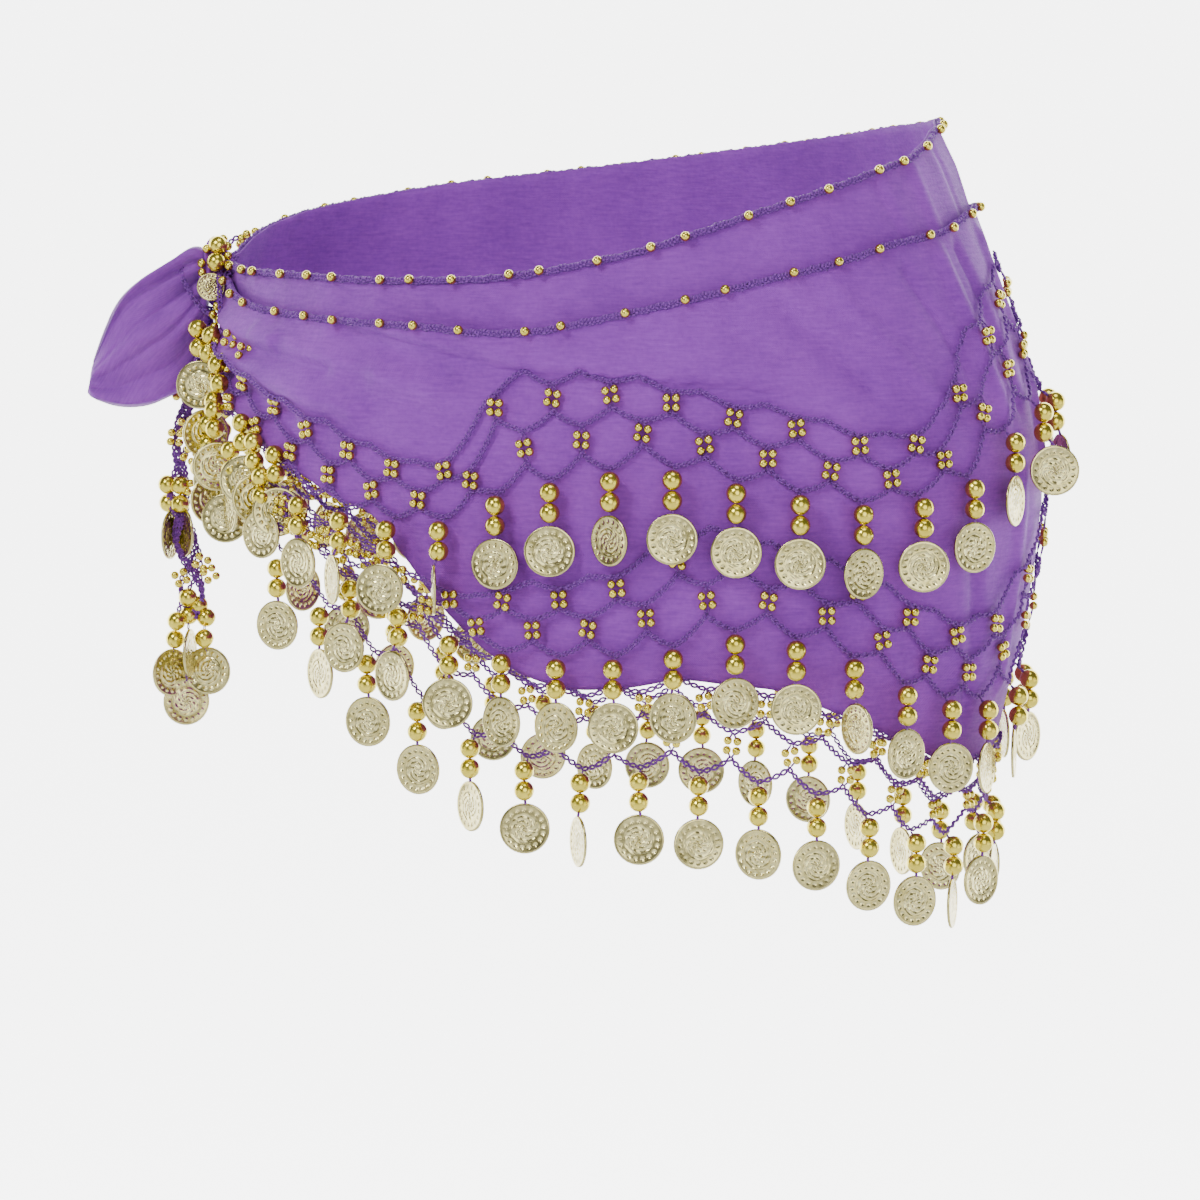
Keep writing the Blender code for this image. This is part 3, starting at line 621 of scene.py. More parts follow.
def bead_finish(name):
    """Gold plated beads with a little unevenness in colour and polish."""
    use = settings()
    finish = Finish(name)
    place = finish.place()
    finish.set("Base Color", finish.mix(finish.noise(place, 160.0), use.bead_deep, use.bead_bright))
    finish.set("Metallic", 1.0)
    finish.set("Roughness", finish.noise(place, 420.0) * 0.16 + 0.14)
    finish.bump(finish.noise(place, 700.0), 0.12, 0.2 * MM)
    return finish.material


def coin_finish(name):
    """Pale gold coin: a ring of dots at 0.76 of the radius and scrolls inside it, all from the
    place on the disc, and small dents. The relief is painted into the colour too: painted light on
    its raised parts and painted shade in its sunk parts."""
    use = settings()
    finish = Finish(name)
    u, v = finish.split(finish.corner())
    radius = (u * u + v * v) ** 0.5
    angle = v.math("ARCTAN2", u)
    sector = 2.0 * math.pi / COIN_DOTS
    away = ((angle * (1.0 / sector)).math("FRACT") - 0.5) * sector * radius
    drop = radius - 0.76
    dots = (1.0 - ((away * away + drop * drop) ** 0.5) * 10.0).math("MAXIMUM", 0.0)
    inside = ((0.62 - radius) * 10.0).clamped()
    swirl = (angle * 3.0 + radius * 13.0).math("SINE")
    curl = (angle * 6.0 - radius * 21.0).math("SINE")
    relief = dots * 0.9 + (swirl * curl * 0.5 + 0.5) * inside * 0.8
    cloud = finish.noise(finish.place(), 220.0, 3.0)
    # Painted light on the raised relief and painted shade in its sunk parts, with random tone from
    # the clouds
    tone = relief * 0.5 + cloud * 0.9 - 0.12
    finish.set("Base Color", finish.mix(tone, use.coin_deep_and_shaded, use.coin_bright_and_lit))
    finish.set("Metallic", 1.0)
    finish.set("Roughness", cloud * 0.16 + 0.14)
    finish.bump(relief + cloud * 0.3, 1.0, 0.45 * MM)
    return finish.material


# columns: maker, material's name, slot
KINDS = {
    "chiffon": (chiffon_finish, "chiffon", "chiffon"),
    "sheer_chiffon": (lambda name: chiffon_finish(name, 0.78), "sheer_chiffon", "chiffon"),
    "yarn": (yarn_finish, "yarn", "crochet"),
    "bead": (bead_finish, "gold_bead", "gold"),
    "coin": (coin_finish, "pale_gold_coin", "gold"),
}
FINISHES = {}


def dress(item, kind, *nodes):
    """Give a piece its finish, its body, and the solids that it stands for."""
    maker, name, slot = KINDS[kind]
    if kind not in FINISHES:
        FINISHES[kind] = maker(name)
    item.data.materials.append(FINISHES[kind])
    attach(item, "root")
    if nodes:
        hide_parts(*nodes)
    return item


def pair(stem):
    """The two nodes of a piece that is split at the hips' sides."""
    return f"{stem}_front", f"{stem}_back"


def quarters(stem):
    """The four nodes of a cloth layer."""
    return [f"{stem}_{side}" for side in ("front_right", "front_left", "back_left", "back_right")]


def prepare_lines():
    """Work out the lines round the hips, once."""
    LINES.update({
        "top": top_edge(),
        "edge": line(OUTER_EDGE, 2.0),
        "tuck": line(TUCK, 2.0),
        "hem": line(HEM, 1.6),
    })
    for tier, row in TIERS.items():
        LINES[tier] = (line(row[3], 0.9), line(row[4], 1.0))


def layer(name, high, low, rise, lift, count, rows):
    """Cloth round the hips: heights go straight from the upper to the lower line, and the lift
    is the layer's own plus its creases. Returns the object and the area of its cut."""
    turn = np.linspace(0.0, 360.0, count, endpoint=False)
    share = np.linspace(0.0, 1.0, rows)
    upper, under = at(high, turn)[:, None], at(low, turn)[:, None]
    height = upper + (under - upper) * share
    turns = np.broadcast_to(turn[:, None], height.shape)
    points = hip(turns, height, lift + rise(turns, height))[0]
    run = lengths(hip(np.linspace(0.0, 360.0, count + 1), *GIRTH_AT)[0])
    across = np.broadcast_to(run[:, None], (count + 1, rows))
    item = sheet_mesh(name, points, across, height)
    area = float((np.diff(run) * (upper - under)[:, 0]).sum())
    return item, run[-1], float((upper - under).max()), area


def band_rise(turn, height):
    """Small creases of the inner layer, and a slow waver."""
    soft = 0.2 * MM * np.sin(turn * 0.61 + height * 70.0)
    creases = np.clip(1.3 * ridges(BAND_CREASES, turn, height, 4.0) + soft, -0.8 * MM, 1.1 * MM)
    return creases + knot_pull(turn, height)


def net_lift(tier, turn, height):
    """Lift of a tier's net over the hip form."""
    return OUTER_FACE + outer_rise(turn, height) + from_table(NET_LIFT[tier], turn)


def coin_turns(tier):
    """Turns of a tier's strands all round the hips."""
    coins, _, first_coin = TIERS[tier][:3]
    half = arc_turns(first_coin, 180.0 - 5.2, coins)
    return np.concatenate([half, 360.0 - half[::-1]])


def net_stations(tier):
    """Turns where a tier's upper and lower rows dip, with the clusters' turns between them."""
    strands = coin_turns(tier)
    lead = np.arange(TIERS[tier][1], strands[0] - 4.0, LEAD_TURNS)
    even = np.concatenate([lead, strands, 360.0 - lead[::-1]])
    return even, (even[1:] + even[:-1]) / 2


def scallop(turn, peaks, dips):
    """Share from 0 at the peaks to 1 at the dips: part straight, part a hanging parabola."""
    marks = np.concatenate([peaks, dips])
    values = np.concatenate([np.zeros(len(peaks)), np.ones(len(dips))])
    order = np.argsort(marks)
    straight = np.interp(turn, marks[order], values[order])
    return 0.45 * straight + 0.55 * (1.0 - (1.0 - straight) ** 2)


def row_height(tier, row, turn):
    """Height of a net row: its upper share at the cluster above it, its lower share between."""
    even, odd = net_stations(tier)
    top, low = LINES[tier]
    peaks, dips = (odd, even) if row != 1 else (even, odd)
    share = NET_ROWS[row][0] + (NET_ROWS[row][1] - NET_ROWS[row][0]) * scallop(turn, peaks, dips)
    return at(top, turn) + (at(low, turn) - at(top, turn)) * share


def long_path(heights, first, last, lift):
    """Path at even steps along a rule of heights, lifted off the cloth by a rule of both."""
    fine = np.linspace(first, last, 4000)
    run = lengths(hip(fine, heights(fine), GIRTH_AT[1])[0])
    turn = np.interp(np.arange(0.0, run[-1], CHAIN_STEP), run, fine)
    high = heights(turn)
    return hip(turn, high, lift(turn, high))[:2]


def crochet(name, path, normals, width, pitch=6.0 * MM, plies=2):
    """Chain stitch: plies cross along the path, each shifted by 0.31 of the width times sin(phase)
    to the side and by 0.55 of that times sin(2 phase) out of the cloth, once round each pitch."""
    tangent = np.gradient(path, axis=0)
    tangent /= np.linalg.norm(tangent, axis=-1, keepdims=True)
    side = np.cross(tangent, normals)
    side /= np.linalg.norm(side, axis=-1, keepdims=True)
    up = np.cross(side, tangent)
    run = lengths(path)
    phase = 2.0 * math.pi * (run / pitch + 0.05 * np.sin(run * 260.0))
    phase = phase[None, :] + 2.0 * math.pi * np.arange(plies)[:, None] / plies
    half = width / 2 * 0.62 * (1.0 + 0.12 * np.sin(run * 410.0))
    shift_side = (half * np.sin(phase))[..., None] * side
    shift_up = (half * 0.55 * np.sin(2.0 * phase))[..., None] * up
    paths = path[None] + shift_side + shift_up
    return tubes(name, paths, np.broadcast_to(up, paths.shape), width * 0.19, 4)


def upright(count):
    """The upward direction, many times."""
    return np.broadcast_to(np.array((0.0, 0.0, 1.0)), (count, 3))


def bead_copies(name, radius, centres, outward, along, around=10, rings=6):
    """A bead at each centre, its poles up and down."""
    return stamp(name, ball(radius, around, rings), centres, along, upright(len(centres)), outward)


def strand_frames(tier):
    """Roots of a tier's hanging strands, and how far out beads and coins hang."""
    turns = coin_turns(tier)
    height = at(LINES[tier][1], turns)
    base, outward, along = hip(turns, height, net_lift(tier, turns, height))

    def reach(table, drop):
        """How far the cloth comes out past the roots within a drop below them."""
        best = np.zeros(len(turns))
        for part in np.linspace(0.0, drop, 7)[1:]:
            level = height - part
            lift = OUTER_FACE + outer_rise(turns, level) + from_table(table, turns)
            face = hip(turns, level, lift)[0]
            best = np.maximum(best, ((face - base) * outward).sum(axis=-1))
        return best

    bead_out, coin_out = reach(BEAD_LIFT[tier], 12.4 * MM), reach(COIN_LIFT[tier], 34.0 * MM)
    return turns, base, outward, along, bead_out, coin_out


def colour_setting(name, description, default):
    """Property for a colour of the scarf."""
    return bpy.props.FloatVectorProperty(name=name, description=description, subtype="COLOR",
                                         min=0.0, max=1.0, default=default)


def width_setting(name, description, default):
    """Property for a width in metres."""
    return bpy.props.FloatProperty(name=name, description=description, subtype="DISTANCE",
                                   unit="LENGTH", min=1.0 * MM, max=30.0 * MM, default=default)


class ScarfSettings(bpy.types.PropertyGroup):
    """Colours and sizes of the scarf."""

    # Chiffon colours: painted light where the ribs catch it and painted shade between them
    chiffon_lit: colour_setting("Chiffon, lit", "Chiffon where its ribs catch the light",
                                (0.32, 0.066, 0.52))
    chiffon_shade: colour_setting("Chiffon, shaded", "Chiffon between its ribs",
                                  (0.115, 0.014, 0.235))
    # Yarn colours: painted light on the crowns of the plies and painted shade between them
    yarn_lit: colour_setting("Yarn, lit", "Crochet yarn on the crowns of its plies",
                             (0.25, 0.064, 0.43))
    yarn_shade: colour_setting("Yarn, shaded", "Crochet yarn between its plies",
                               (0.085, 0.014, 0.18))
    bead_bright: colour_setting("Bead, bright", "Lightest gold of the beads", (0.92, 0.78, 0.13))
    bead_deep: colour_setting("Bead, deep", "Deepest gold of the beads", (0.52, 0.42, 0.035))
    # Coin colours: painted light on the raised relief and painted shade in the sunk relief, each
    # with random tone
    coin_bright_and_lit: colour_setting("Coin, bright", "Raised gold of the coins", (1.0, 0.91, 0.46))
    coin_deep_and_shaded: colour_setting("Coin, deep", "Sunk gold of the coins", (0.34, 0.29, 0.09))
    coin_size: width_setting("Coin", "Width of a coin", 18.8 * MM)
    large_bead: width_setting("Large bead", "Width of a large bead", 7.5 * MM)
    small_bead: width_setting("Small bead", "Width of a small bead", 3.3 * MM)
    yarn_width: width_setting("Chain", "Width of a crocheted chain", 2.3 * MM)


class SCARF_OT_cloth(bpy.types.Operator):
    """Make the two layers of chiffon round the hips"""

    bl_idname = "hip_scarf.cloth"
    bl_label = "Chiffon layers"

    def execute(self, context):
        prepare_lines()
        low = np.maximum(LINES["edge"] - 14.0 * MM, LINES["hem"] + 6.0 * MM)
        inner, around, drop, area = layer(
            "chiffon_inner", LINES["top"], low, band_rise, 1.4 * MM, 560, 18)
        dress(inner, "chiffon", *quarters("inner_layer"))
        outer, around, drop, area = layer(
            "chiffon_outer", LINES["edge"], LINES["hem"], outer_rise, OUTER_LIFT + 0.5 * MM,
            600, 66)
        dress(outer, "chiffon", *quarters("outer_layer"))
        return {"FINISHED"}


class SCARF_OT_edges(bpy.types.Operator):
    """Make the beaded chains along the two upper edges"""

    bl_idname = "hip_scarf.edges"
    bl_label = "Edge chains"

    def execute(self, context):
        use = settings()
        rules = (
            ("top", "top_chain", "top_trim",
             lambda t, h: INNER_FACE + 0.9 * MM + band_rise(t, h), 0.0),
            ("edge", "outer_chain", "outer_trim",
             lambda t, h: OUTER_FACE + outer_rise(t, h) + 0.5 * MM, 3.0),
        )
        for key, name, node, lift, start in rules:

            def heights(turn, key=key):
                waver = 0.35 * MM * np.sin(turn * 2.9) * np.sin(turn * 1.1)
                return at(LINES[key], turn) - 0.9 * MM + waver

            path, normals = long_path(heights, start, 360.0 - start, lift)
            item = crochet(name, path, normals, use.yarn_width * 1.3, 4.6 * MM, 3)
            dress(item, "yarn", *pair(node))
            turn = arc_turns(8.0, 352.0, 44 if key == "top" else 42)
            turn = turn + 1.4 * np.sin(np.arange(len(turn)) * 2.3)
            high = heights(turn) + 0.4 * MM
            spots, outward, along = hip(turn, high, lift(turn, high) + use.small_bead * 0.62)
            beads = bead_copies(name + "_beads", use.small_bead * 0.56, spots, outward, along)
            dress(beads, "bead")
        return {"FINISHED"}


class SCARF_OT_nets(bpy.types.Operator):
    """Make the three tiers of crocheted net: scalloped rows of chain with clusters of four beads"""

    bl_idname = "hip_scarf.nets"
    bl_label = "Net tiers"

    def execute(self, context):
        use = settings()
        for tier in TIERS:
            even, odd = net_stations(tier)
            first = TIERS[tier][1]
            for row in range(len(NET_ROWS)):
                path, normals = long_path(
                    lambda t: row_height(tier, row, t), first - 1.0, 361.0 - first,
                    lambda t, h: net_lift(tier, t, h))
                chain = crochet(f"net_{tier}_row_{row + 1}", path, normals, use.yarn_width)
                dress(chain, "yarn", *pair(f"net_{tier}"))
            self.clusters(tier, even, odd, use)
        return {"FINISHED"}

    def clusters(self, tier, even, odd, use):
        """Clusters under the dips of the first row and of the second, each on two threads."""
        spots, threads = [], []
        for row, turn in ((0, even), (1, odd)):
            above, below = row_height(tier, row, turn), row_height(tier, row + 1, turn)
            middle = above + (below - above) * 0.52
            number = np.arange(len(turn))
            lift = net_lift(tier, turn, middle) + 0.5 * MM
            centre, outward, along = hip(turn, middle, lift)
            tilt = 0.22 * np.sin(number * 4.3 + row * 2.0 + len(tier))
            up = upright(len(turn))
            right = along * np.cos(tilt)[:, None] + up * np.sin(tilt)[:, None]
            rise = up * np.cos(tilt)[:, None] - along * np.sin(tilt)[:, None]
            for a, b in CORNERS:
                spots.append((centre + (right * a + rise * b) * CLUSTER_GAP, outward, along))
            high = hip(turn, above, net_lift(tier, turn, above))[0]
            low = hip(turn, below, net_lift(tier, turn, below))[0]
            for a in (-1.0, 1.0):
                threads.append((high, centre + (right * a + rise) * CLUSTER_GAP, outward))
                threads.append((low, centre + (right * a - rise) * CLUSTER_GAP, outward))
        centres, outward, along = (np.concatenate(part) for part in zip(*spots))
        beads = bead_copies(f"net_{tier}_beads", use.small_bead / 2, centres, outward, along)
        dress(beads, "bead")
        start, stop, outward = (np.concatenate(part) for part in zip(*threads))
        share = np.linspace(0.0, 1.0, 4)[None, :, None]
        paths = start[:, None] * (1 - share) + stop[:, None] * share
        normals = np.broadcast_to(outward[:, None], paths.shape)
        links = tubes(f"net_{tier}_threads", paths, normals, 0.38 * MM, 4)
        dress(links, "yarn")


class SCARF_OT_coins(bpy.types.Operator):
    """Hang the strands of two large beads and a coin under each tier"""

    bl_idname = "hip_scarf.coins"
    bl_label = "Beads and coins"

    def execute(self, context):
        use = settings()
        size = use.coin_size / 2
        for tier in TIERS:
            turns, base, outward, along, bead_out, coin_out = strand_frames(tier)
            count = len(turns)
            number = np.arange(count)
            down = -upright(count)
            bead_a = base + outward * bead_out[:, None] + down * FIRST_BEAD
            bead_b = base + outward * bead_out[:, None] + down * SECOND_BEAD
            both = np.concatenate([bead_a, bead_b])
            item = bead_copies(f"large_beads_{tier}", use.large_bead / 2, both,
                               np.concatenate([outward] * 2), np.concatenate([along] * 2), 18, 11)
            dress(item, "bead", *pair(f"coins_{tier}"))
            spin = 0.38 * np.sin(number * 2.4 + len(tier)) + 0.16 * np.sin(number * 5.1)
            edge_on = (np.mod(number * 7 + len(tier), 11) == 3)
            spin = np.where(edge_on, spin + 0.85, spin)
            swing = 0.09 * np.sin(number * 3.7 + 1.0)
            push = np.maximum(size * np.abs(np.sin(spin)) - 4.4 * MM, 0.0) * 0.8
            side = along * np.cos(spin)[:, None] + outward * np.sin(spin)[:, None]
            face = outward * np.cos(spin)[:, None] - along * np.sin(spin)[:, None]
            up = upright(count) * np.cos(swing)[:, None] + side * np.sin(swing)[:, None]
            right = side * np.cos(swing)[:, None] - upright(count) * np.sin(swing)[:, None]
            middle = base + outward * (coin_out + push)[:, None] + down * COIN_MIDDLE
            points, faces, flat = coin(size)
            item = stamp(f"coins_{tier}", (points, faces), middle, right, up, face, flat)
            dress(item, "coin", *pair(f"coins_{tier}"))
            self.threads(tier, base, bead_a, bead_b, middle + up * (size - HOLE_INSET), outward)
        return {"FINISHED"}

    def threads(self, tier, base, bead_a, bead_b, hole, outward):
        """Thread from the chain through both beads to the coin's hole."""
        stops = np.stack([base, bead_a, bead_b, (bead_b + hole) / 2, hole], axis=1)
        fine = np.linspace(0.0, 4.0, 13)
        left = np.floor(np.minimum(fine, 3.999)).astype(int)
        share = (fine - left)[:, None]
        paths = stops[:, left] * (1 - share) + stops[:, left + 1] * share
        normals = np.broadcast_to(outward[:, None], paths.shape)
        item = tubes(f"threads_{tier}", paths, normals, 0.55 * MM, 5)
        dress(item, "yarn", *pair(f"coins_{tier}"))


def knot_frame():
    """Place on the hip at the knot, the direction that stands out and the direction along."""
    point, outward, along = hip(0.0, KNOT_HEIGHT)
    return np.array((point[0], point[1], 0.0)), outward, along


def in_plane(out, side, high):
    """Points that stand out from the hip at the knot, shifted along it and at a height."""
    base, outward, along = knot_frame()
    out, side, high = np.broadcast_arrays(out, side, high)
    place = base + out[..., None] * outward + side[..., None] * along
    place[..., 2] = high
    return place


def cluster(out, high, shift, tilt):
    """Rows of a cluster's four beads, in millimetres."""
    gap = CLUSTER_GAP / MM
    return [(out + gap * (a * math.cos(tilt) - b * math.sin(tilt)),
             high + gap * (a * math.sin(tilt) + b * math.cos(tilt)), shift) for a, b in CORNERS]


# Chains, beads and coins at the knot, in millimetres
# columns: out from the hip at the knot, height, shift to the front
KNOT_WRAPS = (
    ((-4.0, 23.6, 6.0), (2.0, 23.0, 8.4), (6.4, 18.0, 11.0), (8.0, 10.0, 13.0), (7.4, 2.0, 18.0),
     (6.4, -7.0, 27.0), (4.0, -16.0, 33.0)),
    ((0.0, 14.6, 11.6), (5.0, 17.0, 11.8), (9.8, 19.2, 9.0), (11.8, 16.6, 8.4)),
    ((23.6, 14.4, 5.4), (22.4, 6.5, 6.8), (18.6, 0.0, 8.6), (14.4, -5.0, 10.8), (9.4, -8.0, 13.2),
     (5.6, -9.4, 14.4)),
    ((1.0, 8.6, 12.4), (4.6, 9.6, 13.0), (9.0, 6.4, 13.6), (12.8, 1.0, 11.2)),
)
KNOT_SMALL_BEADS = (
    (10.0, 21.6, 8.4), (6.4, 22.4, 8.0), (4.6, 19.6, 9.6), (4.4, 16.0, 11.4), (4.2, 12.4, 12.6),
    (-2.6, 24.2, 6.0), (-0.6, 22.6, 7.4), (12.8, 18.6, 9.4), (14.6, 9.4, 10.4), (14.8, 13.0, 9.8),
    (8.6, -3.6, 15.0), (10.2, -6.8, 14.0), (7.8, -8.6, 17.0), (9.6, -11.4, 16.0),
)
KNOT_LARGE_BEADS = ((8.8, 13.6, 14.4), (8.2, 20.0, 10.6))
# columns: out, height, spin away from the camera, whether its two beads show
PILE_COINS = (
    (14.6, -35.8, -0.15, 1),
    (11.5, -55.0, 0.35, 0),
    (6.9, -68.0, 0.2, 1),
    (-4.6, -73.4, -0.1, 1),
    (8.8, -80.8, 0.5, 0),
    (-9.6, -80.8, 0.25, 1),
    (3.4, -88.0, -0.2, 0),
    (-18.0, -86.0, 0.1, 1),
)
# The photograph's view rises by this share of a shift to the front, and the hips' outline falls
# back by the shift squared over this length in millimetres
VIEW_RISE = 0.0875
OUTLINE_CURVE = 198.0
# columns: out, height
PILE_BEADS = (
    (10.0, -16.9), (11.2, -23.6), (6.9, -28.5), (5.9, -36.0), (8.5, -42.4), (15.0, -68.0),
    (1.4, -62.0),
)
# columns: out, height, clearance from the hip form
PILE_CLUSTERS = ((1.4, -19.0, 9.5), (-4.6, -24.4, 8.5), (8.0, -22.0, 9.0), (3.6, -28.0, 8.5))
# columns: height, middle of the tail out from the hip, half width
TAIL_LINE = (
    (-4.0, 11.4, 1.0),
    (-24.0, 15.4, 1.6),
    (-38.0, 20.4, 3.2),
    (-56.0, 23.6, 4.6),
    (-70.0, 24.4, 3.4),
    (-78.0, 25.6, 5.2),
    (-94.0, 22.6, 5.6),
    (-104.0, 20.4, 6.2),
    (-112.0, 19.6, 6.6),
    (-126.0, 20.6, 5.6),
)
# columns: out, height
TAIL_CLUSTERS = ((23.6, -37.6), (25.8, -55.4), (21.2, -50.6), (18.8, -75.6), (24.0, -110.4),
                 (15.8, -104.4), (12.6, -109.0), (20.2, -62.4))
TAIL_LARGE_BEADS = ((29.2, -74.0), (24.0, -74.2), (29.0, -81.4), (24.2, -81.6), (21.4, -118.4),
                    (21.2, -125.6), (25.8, -127.6), (26.6, -135.0), (14.4, -126.4),
                    (15.0, -134.4), (17.4, -121.6))
# columns: out, height, shift
TAIL_THREADS = (
    ((27.2, -84.0, 0.0), (28.2, -86.0, 0.0)),
    ((25.8, -124.0, 0.0), (26.6, -135.0, 0.0), (27.4, -140.0, 1.0)),
    ((15.0, -122.0, 0.0), (15.0, -134.0, 0.0), (14.2, -140.0, -0.4)),
    ((21.4, -116.0, 0.0), (21.2, -126.0, 0.0), (21.6, -138.0, 0.0), (22.2, -152.0, -1.2)),
)
# columns: out, height, spin, shift to the front
TAIL_COINS = ((28.2, -94.0, 1.28, 0.0), (22.4, -93.0, -1.18, 1.0), (27.8, -148.0, 0.72, 1.0),
              (13.8, -147.4, -0.3, -0.6), (22.4, -159.6, 0.35, -1.6), (20.6, -140.0, 1.38, 3.0))


class SCARF_OT_knot(bpy.types.Operator):
    """Make the knot, the bow loop and the tail at the wearer's right hip"""

    bl_idname = "hip_scarf.knot"
    bl_label = "Knot, bow and tail"

    def execute(self, context):
        use = settings()
        self.knot(use)
        self.bow(use)
        self.tail(use)
        self.pile(use)
        return {"FINISHED"}

    @staticmethod
    def place(rows):
        """Points and axes from rows of out, height and shift to the front in millimetres."""
        rows = np.array(rows, float) * MM
        _, outward, along = knot_frame()
        points = in_plane(rows[:, 0], rows[:, 2], rows[:, 1])
        return points, np.broadcast_to(along, points.shape), np.broadcast_to(outward, points.shape)

    def beads(self, name, rows, size, *nodes):
        points, facing, across = self.place(rows)
        around, rings = (18, 11) if size > 5 * MM else (10, 6)
        item = bead_copies(name, size / 2, points, facing, across, around, rings)
        return dress(item, "bead", *nodes)

    def coins(self, name, rows, spins, size, *nodes):
        points, facing, across = self.place(rows)
        spin = np.array(spins)[:, None]
        right = across * np.cos(spin) + facing * np.sin(spin)
        face = facing * np.cos(spin) - across * np.sin(spin)
        tilt = 0.14 * np.sin(np.arange(len(points)) * 2.7)[:, None]
        up = upright(len(points)) * np.cos(tilt) + right * np.sin(tilt)
        right = right * np.cos(tilt) - upright(len(points)) * np.sin(tilt)
        shape, faces, flat = coin(size / 2)
        return dress(stamp(name, (shape, faces), points, right, up, face, flat), "coin", *nodes)

    def chain(self, name, rows, width, *nodes):
        """Crochet along a smooth curve through rows of out, height and shift."""
        rows = np.array(rows, float)
        where = np.linspace(0.0, len(rows) - 1.0, 240)
        curve = columns(where, np.arange(len(rows)), rows)
        bell = np.exp(-0.5 * (np.arange(-30, 31) / 11.0) ** 2)
        padded = np.pad(curve, ((30, 30), (0, 0)), mode="reflect", reflect_type="odd")
        bell = bell / bell.sum()
        curve = np.stack([np.convolve(part, bell, "valid") for part in padded.T], axis=-1)
        path = self.place(curve)[0]
        run = lengths(path)
        path = columns(np.linspace(0.0, run[-1], max(int(run[-1] / CHAIN_STEP), 4)), run, path)
        _, _, along = knot_frame()
        item = crochet(name, path, np.broadcast_to(along, path.shape), width, 5.0 * MM)
        return dress(item, "yarn", *nodes)

    def knot(self, use):
        """Ellipsoid (cos b cos a, cos b sin a, sin b) whose radius is pinched by gathers that wind
        round it, and a band across its middle."""
        a = np.linspace(0.0, 2.0 * math.pi, 120, endpoint=False)[:, None]
        b = np.linspace(-math.pi / 2, math.pi / 2, 64)[None, :]
        gather = 0.10 * np.sin(6.0 * a + 4.0 * b) + 0.06 * np.sin(11.0 * a - 5.0 * b)
        belt = 0.14 * np.exp(-((b + 0.35 * np.sin(a)) / 0.36) ** 2)
        swell = 0.90 + (gather + belt) * np.cos(b)
        swell = np.where(np.cos(a) < 0.0, np.minimum(swell, 1.0), swell)
        out = KNOT_OUT + np.cos(b) * np.cos(a) * swell * KNOT_HALF[0]
        side = np.cos(b) * np.sin(a) * swell * KNOT_HALF[1]
        high = KNOT_HEIGHT + np.sin(b) * (0.96 + gather * 0.6) * KNOT_HALF[2]
        points = in_plane(out, side, high)
        faces, places = grid_faces(120, 64, wrap_n=True)
        places = places[:, ::-1] * 0.5 * MM
        item = make_mesh("knot_cloth", points, faces[:, ::-1], places, poles=True)
        dress(item, "chiffon", "knot")
        for number, rows in enumerate(KNOT_WRAPS):
            self.chain(f"knot_wrap_{number + 1}", rows, use.yarn_width)
        self.beads("knot_small_beads", KNOT_SMALL_BEADS, use.small_bead * 1.1)
        self.beads("knot_large_beads", KNOT_LARGE_BEADS, use.large_bead)
        self.coins("knot_small_coin", ((11.0, 4.0, 13.6),), (0.1,), 11.0 * MM)

    def bow(self, use):
        """Loop: rows of sections swept from the front wall round the fold to the back wall, with
        soft pleats, sines of the share across, that fade with distance from the knot."""
        rows = np.array(BOW_LOOP) * MM
        stops = np.linspace(0.0, 1.0, len(rows))
        half = 1.0 - (1.0 - np.linspace(0.0, 1.0, 60)) ** 1.5
        walk = np.concatenate([half, half[-2::-1]])
        face = np.concatenate([np.ones(60), -np.ones(59)])[:, None]
        section = np.pad(columns(walk, stops, rows), ((3, 3), (0, 0)), mode="edge")
        even = np.ones(7) / 7
        section = np.stack([np.convolve(part, even, "valid") for part in section.T], axis=-1)
        share = np.linspace(0.0, 1.0, 48)[None, :]
        out = section[:, 0:1] + (section[:, 2:3] - section[:, 0:1]) * share
        high = section[:, 1:2] + (section[:, 3:4] - section[:, 1:2]) * share
        gap = section[:, 4:5] * (1.0 + 0.25 * np.sin(math.pi * share))
        fade = (1.0 - walk)[:, None] ** 0.6
        wave = np.sin(share * 5.0 * math.pi + 0.7 * face + 2.4 * walk[:, None] * (0.8 - share))
        pleat = 4.4 * MM * fade * (np.abs(wave) ** 0.45 - 0.6) * face
        pleat += 2.6 * MM * np.sin(share * 3.4 * math.pi + 5.0 * walk[:, None])
        pleat *= np.minimum(1.0, (1.0 - walk[:, None]) * 6.0 + 0.25)
        points = in_plane(out, face * gap + pleat, high)
        n, m = points.shape[:2]
        length = lengths(points[:, m // 2])
        drop = np.linalg.norm(points[:, -1] - points[:, 0], axis=-1)
        across = np.broadcast_to(length[:, None], (n, m))
        down = drop[:, None] * np.broadcast_to(share, (n, m))
        item = sheet_mesh("bow_cloth", points, across, down, wrap=False, thickness=0.4 * MM)
        dress(item, "sheer_chiffon", "bow_loop")

